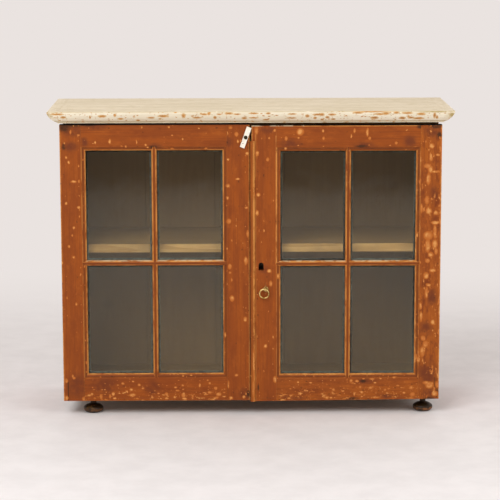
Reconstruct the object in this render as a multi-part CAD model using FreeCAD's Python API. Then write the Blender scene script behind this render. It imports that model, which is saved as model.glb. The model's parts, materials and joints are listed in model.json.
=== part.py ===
import FreeCAD, Part
import os

# A low painted cupboard with two glazed doors, in millimetres.
# X runs to the right, Y to the back and Z up. The origin is on the floor, under the middle.

# Overall sizes
height = 880.0
depth = 400.0
door_span = 1080.0  # across both closed doors

# Top: two planks with a moulding round the front and the ends
top_thickness = 35.0
front_plank_width = 196.0
plank_tongue_thickness = 10.0
plank_tongue_reach = 10.0
moulding_reach = 32.0
moulding_fillet = 4.0  # flat strip above the curve
moulding_foot = 4.0  # flat strip under the curve
moulding_foot_step = 2.0
moulding_bulge = 4.5  # how far the curve stands out from its chord

# Carcass
side_thickness = 22.0
side_setback = 8.0  # from a door's outer edge in to the side
bottom_thickness = 24.0
bottom_tongue_thickness = 14.0
bottom_tongue_reach = 7.0
head_rail_height = 42.0
head_rail_thickness = 22.0
head_rail_tenon_length = 12.0
head_rail_tenon_thickness = 10.0
head_rail_tenon_shoulder = 8.0
back_thickness = 14.0
back_rebate = 11.0
back_board_count = 5
back_tongue_thickness = 5.0
back_tongue_reach = 5.0
shelf_height = 492.0  # floor to the shelf's upper face
shelf_thickness = 26.0
shelf_setback = 24.0
shelf_clearance = 0.5
cleat_width = 20.0
cleat_depth = 20.0
cleat_setback = 6.0  # from the shelf's front edge

# Feet
foot_height = 45.0
foot_radius = 27.5
foot_base_radius = 18.0
foot_neck_radius = 8.5
foot_rim_low = 6.5
foot_rim_high = 16.5
foot_waist_radius = 12.0
foot_waist_drop = 3.5  # below the neck
foot_neck_length = 17.0
foot_under_bulge = 1.2
foot_rim_bulge = 1.2
foot_shoulder_bulge = 1.2
foot_waist_hollow = 0.7
foot_spigot_radius = 7.0
foot_spigot_length = 18.0
foot_clearance = 0.1
foot_left_inset = 74.0  # from the carcass's left face
foot_right_inset = 34.0
foot_front_inset = 19.0
foot_rear_inset = 44.0

# Doors
door_thickness = 24.0
stop_gap = 1.5  # between a closed door and the carcass
head_gap = 4.5  # between the doors and the top
door_drop = 3.0  # how far the doors reach below the carcass
right_door_sag = 3.0
right_door_rise = 4.5  # how much higher its lower edge is at the hinges
meeting_centre = -1.5
meeting_gap = 6.0
hinge_stile_width = 72.0
left_meeting_stile_width = 76.0
right_meeting_stile_width = 82.0
top_rail_height = 74.5
bottom_rail_height = 79.0
sticking_width = 12.0
quirk_depth = 2.5
ovolo_width = 9.5
ovolo_depth = 10.0
ovolo_bulge = 2.0
glass_depth = 14.0  # door face to the front of the glass
rebate_width = 9.0
tenon_front = 8.0
tenon_thickness = 8.0
tenon_length = 40.0
tenon_haunch = 15.0
bar_width = 16.0
bar_fillet = 4.0
bar_setback = 1.0
bar_web = 5.0
bar_bulge = 1.2
glass_thickness = 2.5
pane_clearance = 1.0
glazing_bead_sight = 5.0  # how far the glazing bead shows past the frame
glazing_bead_edge = 1.5
glazing_bead_recess = 1.0

# Hinges
hinge_length = 62.0
hinge_inset = 95.0  # from a door's end to the middle of a hinge
hinge_leaf_width = 18.0
hinge_leaf_thickness = 1.8
knuckle_radius = 4.0
knuckle_gap = 0.3
knuckle_side_gap = 0.5
knuckle_recess_gap = 0.5
hinge_pin_radius = 2.0
hinge_pin_clearance = 0.06
hinge_pin_head_radius = 3.2
hinge_pin_head_height = 1.6
hinge_screw_spacing = 20.0

# Screws and nails
screw_head_radius = 3.2
screw_head_depth = 1.7
screw_radius = 1.5
screw_length = 14.0
nail_head_radius = 3.0
nail_head_depth = 1.2
nail_radius = 1.3
back_nail_length = 34.0
top_nail_length = 62.0
fastener_clearance = 0.05
back_nail_edge = 30.0  # from a back board's edge to a nail
top_nail_edge = 45.0  # from a plank's edge to a nail

# Meeting bead on the right door
bead_width = 16.1
bead_gap = 0.4  # between the bead and the left door
bead_proud = 7.0
bead_flat = 3.0
bead_swing_gap = 3.5  # above the bead's cut end, when the turn button lies level

# Turn button on the left door
button_length = 61.0
button_width = 14.0
button_thickness = 5.0
button_corner = 1.5
button_inset = 10.6  # from the left door's meeting edge
button_from_top = 37.0
button_lean = 19.5
button_gap = 0.4
button_head_radius = 5.5
button_head_height = 3.0
button_head_gap = 0.2
button_screw_radius = 2.2
button_screw_depth = 16.0
button_bore_clearance = 0.08

# Keyhole and lock on the right door
key_inset = 26.7
key_height = 394.0  # above the door's lower edge
keyhole_width = 14.0
keyhole_height = 23.0
lock_inset = 2.0
lock_plate_width = 66.0
lock_plate_above = 35.0
lock_plate_below = 27.0
lock_plate_thickness = 1.8
lock_case_width = 52.0
lock_case_above = 24.0
lock_case_below = 16.0
lock_case_depth = 13.0
lock_wall = 1.5
lock_bolt_height = 12.0
lock_bolt_thickness = 5.0
lock_bolt_length = 38.0
lock_bolt_lift = 6.0
lock_bolt_clearance = 0.4
lock_pin_radius = 1.5
lock_pin_length = 7.0
lock_screw_edge = 6.0

# Ring pull on the right door
pull_inset = 40.0
pull_drop = 65.0  # from the middle of the keyhole down to the post
pull_rose_radius = 7.0
pull_rose_thickness = 2.0
pull_neck_radius = 2.8
pull_eye_offset = 9.0
pull_eye_radius = 5.8
pull_eye_thickness = 3.4
pull_shank_radius = 2.5
pull_shank_clearance = 0.1
pull_nut_width = 10.0
pull_nut_thickness = 4.0
pull_shank_end = 2.0
ring_radius = 13.0
ring_wire_radius = 2.0
ring_play = 1.4  # round the wire in the eye
ring_lean = 22.0

# Bolt inside the left door
bolt_inset = 34.0
bolt_plate_width = 30.0
bolt_plate_height = 96.0
bolt_plate_thickness = 2.0
bolt_plate_drop = 8.0
bolt_radius = 4.0
bolt_offset = 10.0  # door's back to the bolt's axis
bolt_tip_gap = 2.5
bolt_tail = 6.0
bolt_clearance = 0.35
bolt_hole_clearance = 1.0
bolt_hole_depth = 18.0
bolt_guide_width = 16.0
bolt_guide_height = 12.0
bolt_guide_wall = 3.0
bolt_guide_inset = 12.0
bolt_knob_radius = 3.0
bolt_knob_reach = 12.0
bolt_screw_edge = 6.0

V = FreeCAD.Vector
Y_AXIS = V(0, 1, 0)
Z_AXIS = V(0, 0, 1)

# Planes that several pieces share
half_span = door_span / 2
y_front = -depth / 2
y_face = y_front + moulding_reach
y_door_back = y_face + door_thickness
y_case = y_door_back + stop_gap
y_back = depth / 2
y_boards = y_back - back_thickness
z_case = foot_height
z_floor = z_case + bottom_thickness
z_top = height - top_thickness
z_head = z_top - head_rail_height
x_case = half_span - side_setback
x_inside = x_case - side_thickness


class Door:
    """Edges and sight lines of one door; side is -1 for the left and 1 for the right."""

    def __init__(self, name, side, meeting_stile_width, sag):
        self.name = name
        self.side = side
        self.hinge_edge = side * half_span
        self.meeting_edge = meeting_centre + side * meeting_gap / 2
        self.bottom = z_case - door_drop - sag
        self.top = z_top - head_gap - sag
        self.hinge_stile = hinge_stile_width
        self.meeting_stile = meeting_stile_width
        self.hinge_sight = self.hinge_edge - side * hinge_stile_width
        self.meeting_sight = self.meeting_edge + side * meeting_stile_width
        self.top_sight = self.top - top_rail_height
        self.bottom_sight = self.bottom + bottom_rail_height
        self.bar_x = (self.hinge_sight + self.meeting_sight) / 2
        self.bar_z = (self.top_sight + self.bottom_sight) / 2
        self.hinge_heights = [self.bottom + hinge_inset, self.top - hinge_inset]


left = Door("left", -1, left_meeting_stile_width, 0.0)
right = Door("right", 1, right_meeting_stile_width, right_door_sag)


# Shapes that many pieces are made from

def block(xa, xb, ya, yb, za, zb):
    """Block between two opposite corners, given in either order."""
    corner = V(min(xa, xb), min(ya, yb), min(za, zb))
    return Part.makeBox(abs(xb - xa), abs(yb - ya), abs(zb - za), corner)


def rod(radius, start, end):
    """Round bar from one point to another."""
    axis = end.sub(start)
    return Part.makeCylinder(radius, axis.Length, start, axis)


def joined(shapes):
    """One solid out of shapes that meet."""
    return shapes[0].multiFuse(shapes[1:]).removeSplitter()


def bulged(a, b, bulge):
    """Point that stands out from the middle of the chord a-b, to the right of the way from a to b."""
    along = (b[0] - a[0], b[1] - a[1])
    length = (along[0] ** 2 + along[1] ** 2) ** 0.5
    u = (a[0] + b[0]) / 2 + bulge * along[1] / length
    v = (a[1] + b[1]) / 2 - bulge * along[0] / length
    return (u, v)


def outline(points, place):
    """Flat face round the points. A third number on a point curves the step that leads to it."""
    edges = []
    for before, after in zip(points, points[1:] + points[:1]):
        start = place(before[0], before[1])
        end = place(after[0], after[1])
        if len(after) == 3:
            middle = place(*bulged(before, after, after[2]))
            edges.append(Part.Arc(start, middle, end).toShape())
        else:
            edges.append(Part.makeLine(start, end))
    return Part.Face(Part.Wire(edges))


def flat_sided(lower, upper):
    """Solid with flat sides between two four-cornered faces."""
    rings = [lower, upper]
    for i in range(4):
        k = (i + 1) % 4
        rings.append([lower[i], lower[k], upper[k], upper[i]])
    faces = [Part.Face(Part.makePolygon(ring + ring[:1])) for ring in rings]
    solid = Part.Solid(Part.Shell(faces))
    if solid.Volume < 0:
        solid.reverse()
    return solid


def screw(point, way, clearance=0.0):
    """Countersunk wood screw whose head is flush at the point and whose tip goes the given way."""
    neck = point.add(V(way).multiply(screw_head_depth))
    tip = point.add(V(way).multiply(screw_length + clearance))
    wide = screw_head_radius + clearance
    narrow = screw_radius + clearance
    head = Part.makeCone(wide, narrow, screw_head_depth, point, way)
    return joined([head, rod(narrow, neck, tip)])


def nail(point, way, clearance=0.0):
    """Flat-headed nail, flush at the point; the ones that go down through the top are longer."""
    length = top_nail_length if abs(way.z) > abs(way.y) else back_nail_length
    under = point.add(V(way).multiply(nail_head_depth))
    tip = point.add(V(way).multiply(length + clearance))
    head = rod(nail_head_radius + clearance, point, under)
    return joined([head, rod(nail_radius + clearance, under, tip)])


def with_holes(solid, maker, places):
    """The solid with a hole for each screw or nail."""
    holes = [maker(point, way, fastener_clearance) for point, way in places]
    return solid.cut(holes)


def save(name, *solids):
    """Writes one node, as a single solid or a group of alike solids."""
    for solid in solids:
        if not solid.isValid() or len(solid.Solids) != 1:
            raise ValueError("bad solid in " + name)
    shape = solids[0] if len(solids) == 1 else Part.makeCompound(list(solids))
    shape.exportStep("parts/" + name + ".step")


# Fastener places

def back_nail_places():
    """Two nails through each back board into the bottom and two into the shelf."""
    width = 2 * (x_inside + back_rebate) / back_board_count
    start = -(x_inside + back_rebate)
    heights = [z_case + bottom_thickness / 2, shelf_height - shelf_thickness / 2]
    places = []
    for i in range(back_board_count):
        for x in (start + i * width + back_nail_edge, start + (i + 1) * width - back_nail_edge):
            for z in heights:
                places.append((V(x, y_back, z), -Y_AXIS))
    return places


def top_nail_places():
    """Two nails through each end of both top planks into the sides."""
    seam = y_face + front_plank_width
    rows = [y_case + top_nail_edge, seam - top_nail_edge, seam + top_nail_edge, y_boards - top_nail_edge]
    places = []
    for side in (-1, 1):
        for y in rows:
            places.append((V(side * (x_case - side_thickness / 2), y, height), -Z_AXIS))
    return places


def hinge_screw_places(door, y, way):
    """Three screws in each hinge leaf of a door."""
    x = door.side * (x_case - hinge_leaf_width / 2)
    places = []
    for middle in door.hinge_heights:
        for i in (-1, 0, 1):
            places.append((V(x, y, middle + i * hinge_screw_spacing), way))
    return places


frame_screw_places = []
for hung in (left, right):
    frame_screw_places += hinge_screw_places(hung, y_case, Y_AXIS)
top_nails = top_nail_places()
back_nails = back_nail_places()


# Carcass

def make_side(side):
    """Upright side with a rebate for the bottom, a mortise for the head rail and a rear rebate."""
    solid = block(side * x_inside, side * x_case, y_case, y_back, z_case, z_top)
    rebate = block(side * x_inside, side * (x_inside + back_rebate), y_boards, y_back, z_case, z_top)
    recesses = [leaf_plate(side, y_case, hinge_leaf_thickness, z) for z in hinge_heights(side)]
    solid = solid.cut([rebate, bottom_tongue(side), head_tenon(side)] + recesses)
    near = [p for p in frame_screw_places if p[0].x * side > 0]
    solid = with_holes(solid, screw, near)
    return with_holes(solid, nail, [p for p in top_nails if p[0].x * side > 0])


def hinge_heights(side):
    """Heights of the hinges on one side."""
    return left.hinge_heights if side < 0 else right.hinge_heights


def leaf_plate(side, y, thickness, middle):
    """Flat plate of one hinge leaf, lying at the outer edge of the carcass."""
    inner = side * (x_case - hinge_leaf_width)
    low = middle - hinge_length / 2
    return block(inner, side * x_case, y, y + thickness, low, low + hinge_length)


def head_tenon(side):
    """Tenon at one end of the head rail."""
    middle = y_case + head_rail_thickness / 2
    half = head_rail_tenon_thickness / 2
    low = z_head + head_rail_tenon_shoulder
    high = z_top - head_rail_tenon_shoulder
    end = side * (x_inside + head_rail_tenon_length)
    return block(side * x_inside, end, middle - half, middle + half, low, high)


def bolt_axis(z):
    """Point on the axis of the bolt inside the left door."""
    return V(left.meeting_edge - bolt_inset, y_door_back + bolt_offset, z)


def make_head_rail():
    """Rail across the front under the top, with a hole for the left door's bolt."""
    bar = block(-x_inside, x_inside, y_case, y_case + head_rail_thickness, z_head, z_top)
    solid = joined([bar, head_tenon(-1), head_tenon(1)])
    radius = bolt_radius + bolt_hole_clearance
    return solid.cut(rod(radius, bolt_axis(z_head), bolt_axis(z_head + bolt_hole_depth)))


def foot_places():
    """Name and axis of each foot."""
    columns = {"left": -x_case + foot_left_inset, "right": x_case - foot_right_inset}
    rows = {"front": y_case + foot_front_inset, "rear": y_back - foot_rear_inset}
    return [(row + "_" + column + "_foot", columns[column], rows[row]) for row in rows for column in columns]


def bottom_tongue(side):
    """Tongue along one end of the bottom board."""
    end = side * (x_inside + bottom_tongue_reach)
    return block(side * x_inside, end, y_case, y_boards, z_case, z_case + bottom_tongue_thickness)


def make_bottom():
    """Bottom board, tongued into the sides, with a socket over each foot."""
    board = block(-x_inside, x_inside, y_case, y_boards, z_case, z_floor)
    solid = joined([board, bottom_tongue(-1), bottom_tongue(1)])
    radius = foot_spigot_radius + foot_clearance
    depth_z = z_case + foot_spigot_length + foot_clearance
    sockets = [rod(radius, V(x, y, z_case), V(x, y, depth_z)) for _, x, y in foot_places()]
    return with_holes(solid.cut(sockets), nail, back_nails)


def make_foot(x, y):
    """Turned foot: a low bun, a long thin neck and a spigot."""
    neck_low = foot_height - foot_neck_length
    top = foot_height + foot_spigot_length
    points = [
        (0, 0),
        (foot_base_radius, 0),
        (foot_radius, foot_rim_low, foot_under_bulge),
        (foot_radius, foot_rim_high, foot_rim_bulge),
        (foot_waist_radius, neck_low - foot_waist_drop, foot_shoulder_bulge),
        (foot_neck_radius, neck_low, -foot_waist_hollow),
        (foot_neck_radius, foot_height),
        (foot_spigot_radius, foot_height),
        (foot_spigot_radius, top),
        (0, top),
    ]
    half_section = outline(points, lambda r, z: V(x + r, y, z))
    return half_section.revolve(V(x, y, 0), Z_AXIS, 360)


def make_back_board(index):
    """One upright board of the back, tongued on its right edge and grooved on its left."""
    width = 2 * (x_inside + back_rebate) / back_board_count
    low = -(x_inside + back_rebate) + index * width
    middle = (y_boards + y_back) / 2
    half = back_tongue_thickness / 2
    solid = block(low, low + width, y_boards, y_back, z_case, z_top)
    if index > 0:
        groove = block(low, low + back_tongue_reach, middle - half, middle + half, z_case, z_top)
        solid = solid.cut(groove)
    if index < back_board_count - 1:
        end = low + width + back_tongue_reach
        solid = joined([solid, block(low + width, end, middle - half, middle + half, z_case, z_top)])
    return with_holes(solid, nail, back_nails)


def make_shelf():
    """Loose shelf, resting on the cleats."""
    reach = x_inside - shelf_clearance
    low = shelf_height - shelf_thickness
    solid = block(-reach, reach, y_case + shelf_setback, y_boards, low, shelf_height)
    return with_holes(solid, nail, back_nails)


def make_cleat(side):
    """Batten under one end of the shelf."""
    inner = side * (x_inside - cleat_width)
    front = y_case + shelf_setback + cleat_setback
    high = shelf_height - shelf_thickness
    return block(inner, side * x_inside, front, y_boards, high - cleat_depth, high)


def plank_tongue():
    """Tongue of the rear plank, in a groove of the front one."""
    seam = y_face + front_plank_width
    middle = z_top + top_thickness / 2
    half = plank_tongue_thickness / 2
    return block(-half_span, half_span, seam - plank_tongue_reach, seam, middle - half, middle + half)


def make_top_planks():
    """The front and rear planks of the top."""
    seam = y_face + front_plank_width
    front = block(-half_span, half_span, y_face, seam, z_top, height).cut(plank_tongue())
    rear = joined([block(-half_span, half_span, seam, y_back, z_top, height), plank_tongue()])
    return [with_holes(plank, nail, top_nails) for plank in (front, rear)]


def moulding_points():
    """Section of the moulding: reach from the planks, then height above their underside."""
    return [
        (0, 0),
        (moulding_foot, 0),
        (moulding_foot, moulding_foot_step),
        (moulding_reach, top_thickness - moulding_fillet, moulding_bulge),
        (moulding_reach, top_thickness),
        (0, top_thickness),
    ]


def plan(corners):
    """Upright prism over corners in plan, as tall as the top."""
    points = [V(x, y, z_top) for x, y in corners]
    return Part.Face(Part.makePolygon(points + points[:1])).extrude(V(0, 0, top_thickness))


def make_front_moulding():
    """Moulding along the front, mitred at both ends."""
    reach = half_span + moulding_reach
    section = outline(moulding_points(), lambda u, v: V(-reach, y_face - u, z_top + v))
    corners = [(-reach, y_front), (reach, y_front), (half_span, y_face), (-half_span, y_face)]
    return section.extrude(V(2 * reach, 0, 0)).common(plan(corners))


def make_end_moulding(side):
    """Moulding along one end, mitred at the front."""
    reach = half_span + moulding_reach
    section = outline(moulding_points(), lambda u, v: V(side * (half_span + u), y_front, z_top + v))
    corners = [
        (side * reach, y_front),
        (side * half_span, y_face),
        (side * half_span, y_back),
        (side * reach, y_back),
    ]
    return section.extrude(V(0, depth, 0)).common(plan(corners))


# Hinges

def hinge_axis(side, z):
    """Point on the hinge axis of one side."""
    x = side * (x_case + knuckle_side_gap + knuckle_radius)
    return V(x, y_door_back + stop_gap / 2, z)


def make_hinge_leaf(side, middle, y, knuckles):
    """Plate with rolled knuckles; knuckles lists which thirds of the length they take."""
    third = (hinge_length - 2 * knuckle_gap) / 3
    low = middle - hinge_length / 2
    shapes = [leaf_plate(side, y, hinge_leaf_thickness, middle)]
    for k in knuckles:
        start = low + k * (third + knuckle_gap)
        axis = hinge_axis(side, start)
        shapes.append(rod(knuckle_radius, axis, hinge_axis(side, start + third)))
        shapes.append(block(side * x_case, axis.x, y, y + hinge_leaf_thickness, start, start + third))
    radius = hinge_pin_radius + hinge_pin_clearance
    bore = rod(radius, hinge_axis(side, low), hinge_axis(side, low + hinge_length))
    return joined(shapes).cut(bore)


def make_hinge_pin(side, middle):
    """Pin with a small head at each end."""
    low = middle - hinge_length / 2
    high = middle + hinge_length / 2
    shaft = rod(hinge_pin_radius, hinge_axis(side, low), hinge_axis(side, high))
    foot = rod(hinge_pin_head_radius, hinge_axis(side, low - hinge_pin_head_height), hinge_axis(side, low))
    head = rod(hinge_pin_head_radius, hinge_axis(side, high), hinge_axis(side, high + hinge_pin_head_height))
    return joined([shaft, foot, head])


def hinge_recess(side, middle):
    """Room in a door's edge for a hinge's knuckles."""
    half = hinge_length / 2 + hinge_pin_head_height + knuckle_recess_gap
    radius = knuckle_radius + knuckle_recess_gap
    return rod(radius, hinge_axis(side, middle - half), hinge_axis(side, middle + half))


# Door frames

def frame_points(width):
    """Section of a stile or rail: across from the outer edge, then in from the face."""
    return [
        (0, 0),
        (width - sticking_width, 0),
        (width - sticking_width, quirk_depth),
        (width - ovolo_width, quirk_depth),
        (width, ovolo_depth, ovolo_bulge),
        (width, glass_depth),
        (width - rebate_width, glass_depth),
        (width - rebate_width, door_thickness),
        (0, door_thickness),
    ]


def bar_points():
    """Section of a glazing bar: across from its middle, then in from the face."""
    half = bar_width / 2
    return [
        (-bar_fillet / 2, bar_setback, bar_bulge),
        (bar_fillet / 2, bar_setback),
        (half, ovolo_depth, bar_bulge),
        (half, glass_depth),
        (bar_web / 2, glass_depth),
        (bar_web / 2, door_thickness),
        (-bar_web / 2, door_thickness),
        (-bar_web / 2, glass_depth),
        (-half, glass_depth),
        (-half, ovolo_depth),
    ]


def upright(points, x, way, low, high):
    """Section swept upwards; way is the direction in X in which it runs across."""
    section = outline(points, lambda u, v: V(x + way * u, y_face + v, low))
    return section.extrude(V(0, 0, high - low))


def level(points, z, way, start, end):
    """Section swept sideways; way is the direction in Z in which it runs across."""
    section = outline(points, lambda u, v: V(start, y_face + v, z + way * u))
    return section.extrude(V(end - start, 0, 0))


def tenon(sight, way, low, high):
    """Tenon of a rail, from the sight line into a stile."""
    front = y_face + tenon_front
    end = sight + way * (sticking_width + tenon_length)
    return block(sight, end, front, front + tenon_thickness, low, high)


def make_frame(door):
    """Stiles, rails and bars of one door, with scribed and tenoned joints."""
    side = door.side
    hinge = upright(frame_points(door.hinge_stile), door.hinge_edge, -side, door.bottom, door.top)
    meeting = upright(frame_points(door.meeting_stile), door.meeting_edge, side, door.bottom, door.top)
    from_x = door.meeting_sight - side * sticking_width
    to_x = door.hinge_sight + side * sticking_width
    rails = {}
    spans = {
        "top_rail": (door.top, -1, top_rail_height, door.top_sight + sticking_width, door.top - tenon_haunch),
        "bottom_rail": (
            door.bottom,
            1,
            bottom_rail_height,
            door.bottom + tenon_haunch,
            door.bottom_sight - sticking_width,
        ),
    }
    for name, (edge, way, width, low, high) in spans.items():
        tenons = [
            tenon(door.hinge_sight, side, low, high),
            tenon(door.meeting_sight, -side, low, high),
        ]
        hinge = hinge.cut(tenons[0])
        meeting = meeting.cut(tenons[1])
        rails[name] = (level(frame_points(width), edge, way, from_x, to_x), tenons)
    pieces = {"hinge_stile": hinge, "meeting_stile": meeting}
    for name, (rail, tenons) in rails.items():
        pieces[name] = joined([rail.cut([hinge, meeting])] + tenons)
    low = door.bottom_sight - sticking_width
    high = door.top_sight + sticking_width
    bar = upright(bar_points(), door.bar_x, 1, low, high)
    pieces["upright_bar"] = bar.cut([pieces["top_rail"], pieces["bottom_rail"]])
    inner = level(bar_points(), door.bar_z, 1, from_x, door.bar_x)
    outer = level(bar_points(), door.bar_z, 1, door.bar_x, to_x)
    pieces["inner_cross_bar"] = inner.cut([meeting, pieces["upright_bar"]])
    pieces["outer_cross_bar"] = outer.cut([hinge, pieces["upright_bar"]])
    return pieces


def pane_fields(door):
    """Name and sight edges of each pane, with the depth of the rebate on every edge."""
    half = bar_width / 2
    bar_rebate = (bar_width - bar_web) / 2
    inner = (door.meeting_sight, door.bar_x - door.side * half)
    outer = (door.hinge_sight, door.bar_x + door.side * half)
    upper = (door.top_sight, door.bar_z + half)
    lower = (door.bottom_sight, door.bar_z - half)
    fields = []
    for row, (z_frame, z_bar) in (("upper", upper), ("lower", lower)):
        for column, (x_frame, x_bar) in (("inner", inner), ("outer", outer)):
            fields.append((row + "_" + column, x_frame, x_bar, z_frame, z_bar, bar_rebate))
    return fields


def grown(frame_edge, bar_edge, frame_by, bar_by):
    """A span of sight line, moved out by one amount at the frame and by another at the bar."""
    way = 1 if bar_edge > frame_edge else -1
    return (frame_edge - way * frame_by, bar_edge + way * bar_by)


def make_pane(field):
    """One sheet of glass in its rebate."""
    _, x_frame, x_bar, z_frame, z_bar, bar_rebate = field
    xa, xb = grown(x_frame, x_bar, rebate_width - pane_clearance, bar_rebate - pane_clearance)
    za, zb = grown(z_frame, z_bar, rebate_width - pane_clearance, bar_rebate - pane_clearance)
    front = y_face + glass_depth
    return block(xa, xb, front, front + glass_thickness, za, zb)


def make_glazing_beads(field):
    """Four mitred beads behind one pane, thick at the rebate and thin at the sight line."""
    _, x_frame, x_bar, z_frame, z_bar, bar_rebate = field
    wide = grown(x_frame, x_bar, rebate_width, bar_rebate) + grown(z_frame, z_bar, rebate_width, bar_rebate)
    inset = -glazing_bead_sight
    narrow = grown(x_frame, x_bar, inset, inset) + grown(z_frame, z_bar, inset, inset)
    glass = y_face + glass_depth + glass_thickness
    rings = []
    for xa, xb, za, zb in (wide, narrow):
        rings.append([(xa, za), (xb, za), (xb, zb), (xa, zb)])
    outer, inner = rings
    beads = []
    for i in range(4):
        k = (i + 1) % 4
        base = [outer[i], outer[k], inner[k], inner[i]]
        thick = [door_thickness - glazing_bead_recess + y_face] * 2 + [glass + glazing_bead_edge] * 2
        lower = [V(x, glass, z) for x, z in base]
        upper = [V(x, y, z) for (x, z), y in zip(base, thick)]
        beads.append(flat_sided(lower, upper))
    return beads


# Turn button

def button_point(y):
    """Point on the turn button's axis."""
    return V(left.meeting_edge - button_inset, y, left.top - button_from_top)


def make_button():
    """Flat button, leaning as it was left, bored for its screw."""
    face = y_face - button_gap
    centre = button_point(face)
    half = button_width / 2
    low = centre.z - button_length / 2
    solid = block(centre.x - half, centre.x + half, face - button_thickness, face, low, low + button_length)
    corners = [e for e in solid.Edges if abs(e.tangentAt(e.FirstParameter).y) > 0.99]
    solid = solid.makeFillet(button_corner, corners)
    bore = rod(button_screw_radius + button_bore_clearance, centre, button_point(face - button_thickness))
    solid = solid.cut(bore)
    solid.rotate(centre, Y_AXIS, button_lean)
    return solid


def make_button_screw(clearance=0.0):
    """Round-headed screw that the button turns on."""
    under = y_face - button_gap - button_thickness - button_head_gap
    head = rod(button_head_radius, button_point(under - button_head_height), button_point(under))
    rim = [e for e in head.Edges if abs(e.BoundBox.YMin - (under - button_head_height)) < 0.01]
    head = head.makeFillet(button_head_height * 0.8, [e for e in rim if e.BoundBox.YLength < 0.01])
    end = y_face + button_screw_depth + clearance
    return joined([head, rod(button_screw_radius + clearance, button_point(under), button_point(end))])


# Meeting bead, keyhole and lock

def make_meeting_bead():
    """Rounded bead down the right door's meeting stile."""
    start = left.meeting_edge + bead_gap
    high = button_point(y_face).z - button_width / 2 - bead_swing_gap
    points = [
        (0, 0),
        (0, bead_flat),
        (bead_width, bead_flat, bead_flat - bead_proud),
        (bead_width, 0),
    ]
    section = outline(points, lambda u, v: V(start + u, y_face - v, right.bottom))
    return section.extrude(V(0, 0, high - right.bottom))


def key_point(y):
    """Middle of the keyhole, at some depth."""
    return V(right.meeting_edge + key_inset, y, right.bottom + key_height)


def keyhole(front, back):
    """Upright slot with a round head."""
    centre = key_point(front)
    half = keyhole_width / 2
    low = centre.z - keyhole_height / 2
    head = centre.z + keyhole_height / 2 - half
    slot = block(centre.x - half, centre.x + half, front, back, low, head)
    return joined([slot, rod(half, V(centre.x, front, head), V(centre.x, back, head))])


def lock_screw_places():
    """Four screws that hold the lock to the door."""
    key = key_point(y_door_back + lock_plate_thickness)
    x = right.meeting_edge + lock_inset
    flange = x + (lock_case_width + lock_plate_width) / 2
    near = x + lock_case_width / 4
    high = key.z + lock_plate_above - lock_screw_edge
    low = key.z - lock_plate_below + lock_screw_edge
    spots = [(near, high), (near, low), (flange, high), (flange, low)]
    return [(V(sx, key.y, sz), -Y_AXIS) for sx, sz in spots]


def lock_bolt_box(clearance):
    """The lock's bolt, drawn back, grown by a clearance."""
    key = key_point(0)
    start = right.meeting_edge + lock_inset
    middle = y_door_back + lock_plate_thickness + (lock_case_depth - lock_wall) / 2
    half = lock_bolt_thickness / 2 + clearance
    low = key.z + lock_bolt_lift - clearance
    high = key.z + lock_bolt_lift + lock_bolt_height + clearance
    return block(start - clearance, start + lock_bolt_length, middle - half, middle + half, low, high)


def make_lock_case():
    """Plate and hollow case, open at the edge for the bolt and at the front for the key."""
    key = key_point(y_door_back)
    start = right.meeting_edge + lock_inset
    face = y_door_back + lock_plate_thickness
    back = face + lock_case_depth
    low = key.z - lock_case_below
    high = key.z + lock_case_above
    end = start + lock_case_width
    plate = block(
        start,
        start + lock_plate_width,
        y_door_back,
        face,
        key.z - lock_plate_below,
        key.z + lock_plate_above,
    )
    case = block(start, end, face, back, low, high)
    wall = lock_wall
    hollow = block(start + wall, end - wall, face, back - wall, low + wall, high - wall)
    pin = rod(lock_pin_radius, key_point(back - wall - lock_pin_length), key_point(back - wall / 2))
    cuts = [hollow, keyhole(y_door_back, face), lock_bolt_box(lock_bolt_clearance)]
    solid = joined([plate, case]).cut(cuts)
    return with_holes(joined([solid, pin]), screw, lock_screw_places())


# Ring pull

def pull_point(y):
    """Point on the axis of the pull's post."""
    return V(right.meeting_edge + pull_inset, y, right.bottom + key_height - pull_drop)


def make_pull_post():
    """Rose, neck and flat eye in one, with a shank through the stile."""
    eye = pull_point(y_face - pull_eye_offset)
    half = V(pull_eye_thickness / 2, 0, 0)
    disc = rod(pull_eye_radius, eye.sub(half), eye.add(half))
    neck = rod(pull_neck_radius, pull_point(eye.y + ring_wire_radius + ring_play), pull_point(y_face))
    rose = rod(pull_rose_radius, pull_point(y_face - pull_rose_thickness), pull_point(y_face))
    end = y_door_back + pull_nut_thickness + pull_shank_end
    shank = rod(pull_shank_radius, pull_point(y_face), pull_point(end))
    hole = rod(ring_wire_radius + ring_play, eye.sub(half), eye.add(half))
    return joined([disc, neck, rose, shank]).cut(hole)


def make_pull_nut():
    """Square nut behind the stile."""
    centre = pull_point(y_door_back)
    half = pull_nut_width / 2
    back = y_door_back + pull_nut_thickness
    solid = block(centre.x - half, centre.x + half, y_door_back, back, centre.z - half, centre.z + half)
    return solid.cut(rod(pull_shank_radius + pull_shank_clearance, centre, pull_point(back)))


def make_ring():
    """Ring through the eye, hanging a little to the left."""
    eye = pull_point(y_face - pull_eye_offset)
    centre = eye.sub(V(0, 0, ring_radius))
    ring = Part.makeTorus(ring_radius, ring_wire_radius, centre, Y_AXIS)
    ring.rotate(eye, Y_AXIS, ring_lean)
    return ring


# Bolt inside the left door

def bolt_plate_span():
    """Lower and upper end of the bolt's plate."""
    high = z_head - bolt_plate_drop
    return (high - bolt_plate_height, high)


def bolt_screw_places():
    """Four screws in the corners of the bolt's plate."""
    low, high = bolt_plate_span()
    x = left.meeting_edge - bolt_inset
    across = bolt_plate_width / 2 - bolt_screw_edge
    y = y_door_back + bolt_plate_thickness
    places = []
    for z in (low + bolt_screw_edge, high - bolt_screw_edge):
        for way in (-1, 1):
            places.append((V(x + way * across, y, z), -Y_AXIS))
    return places


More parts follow.
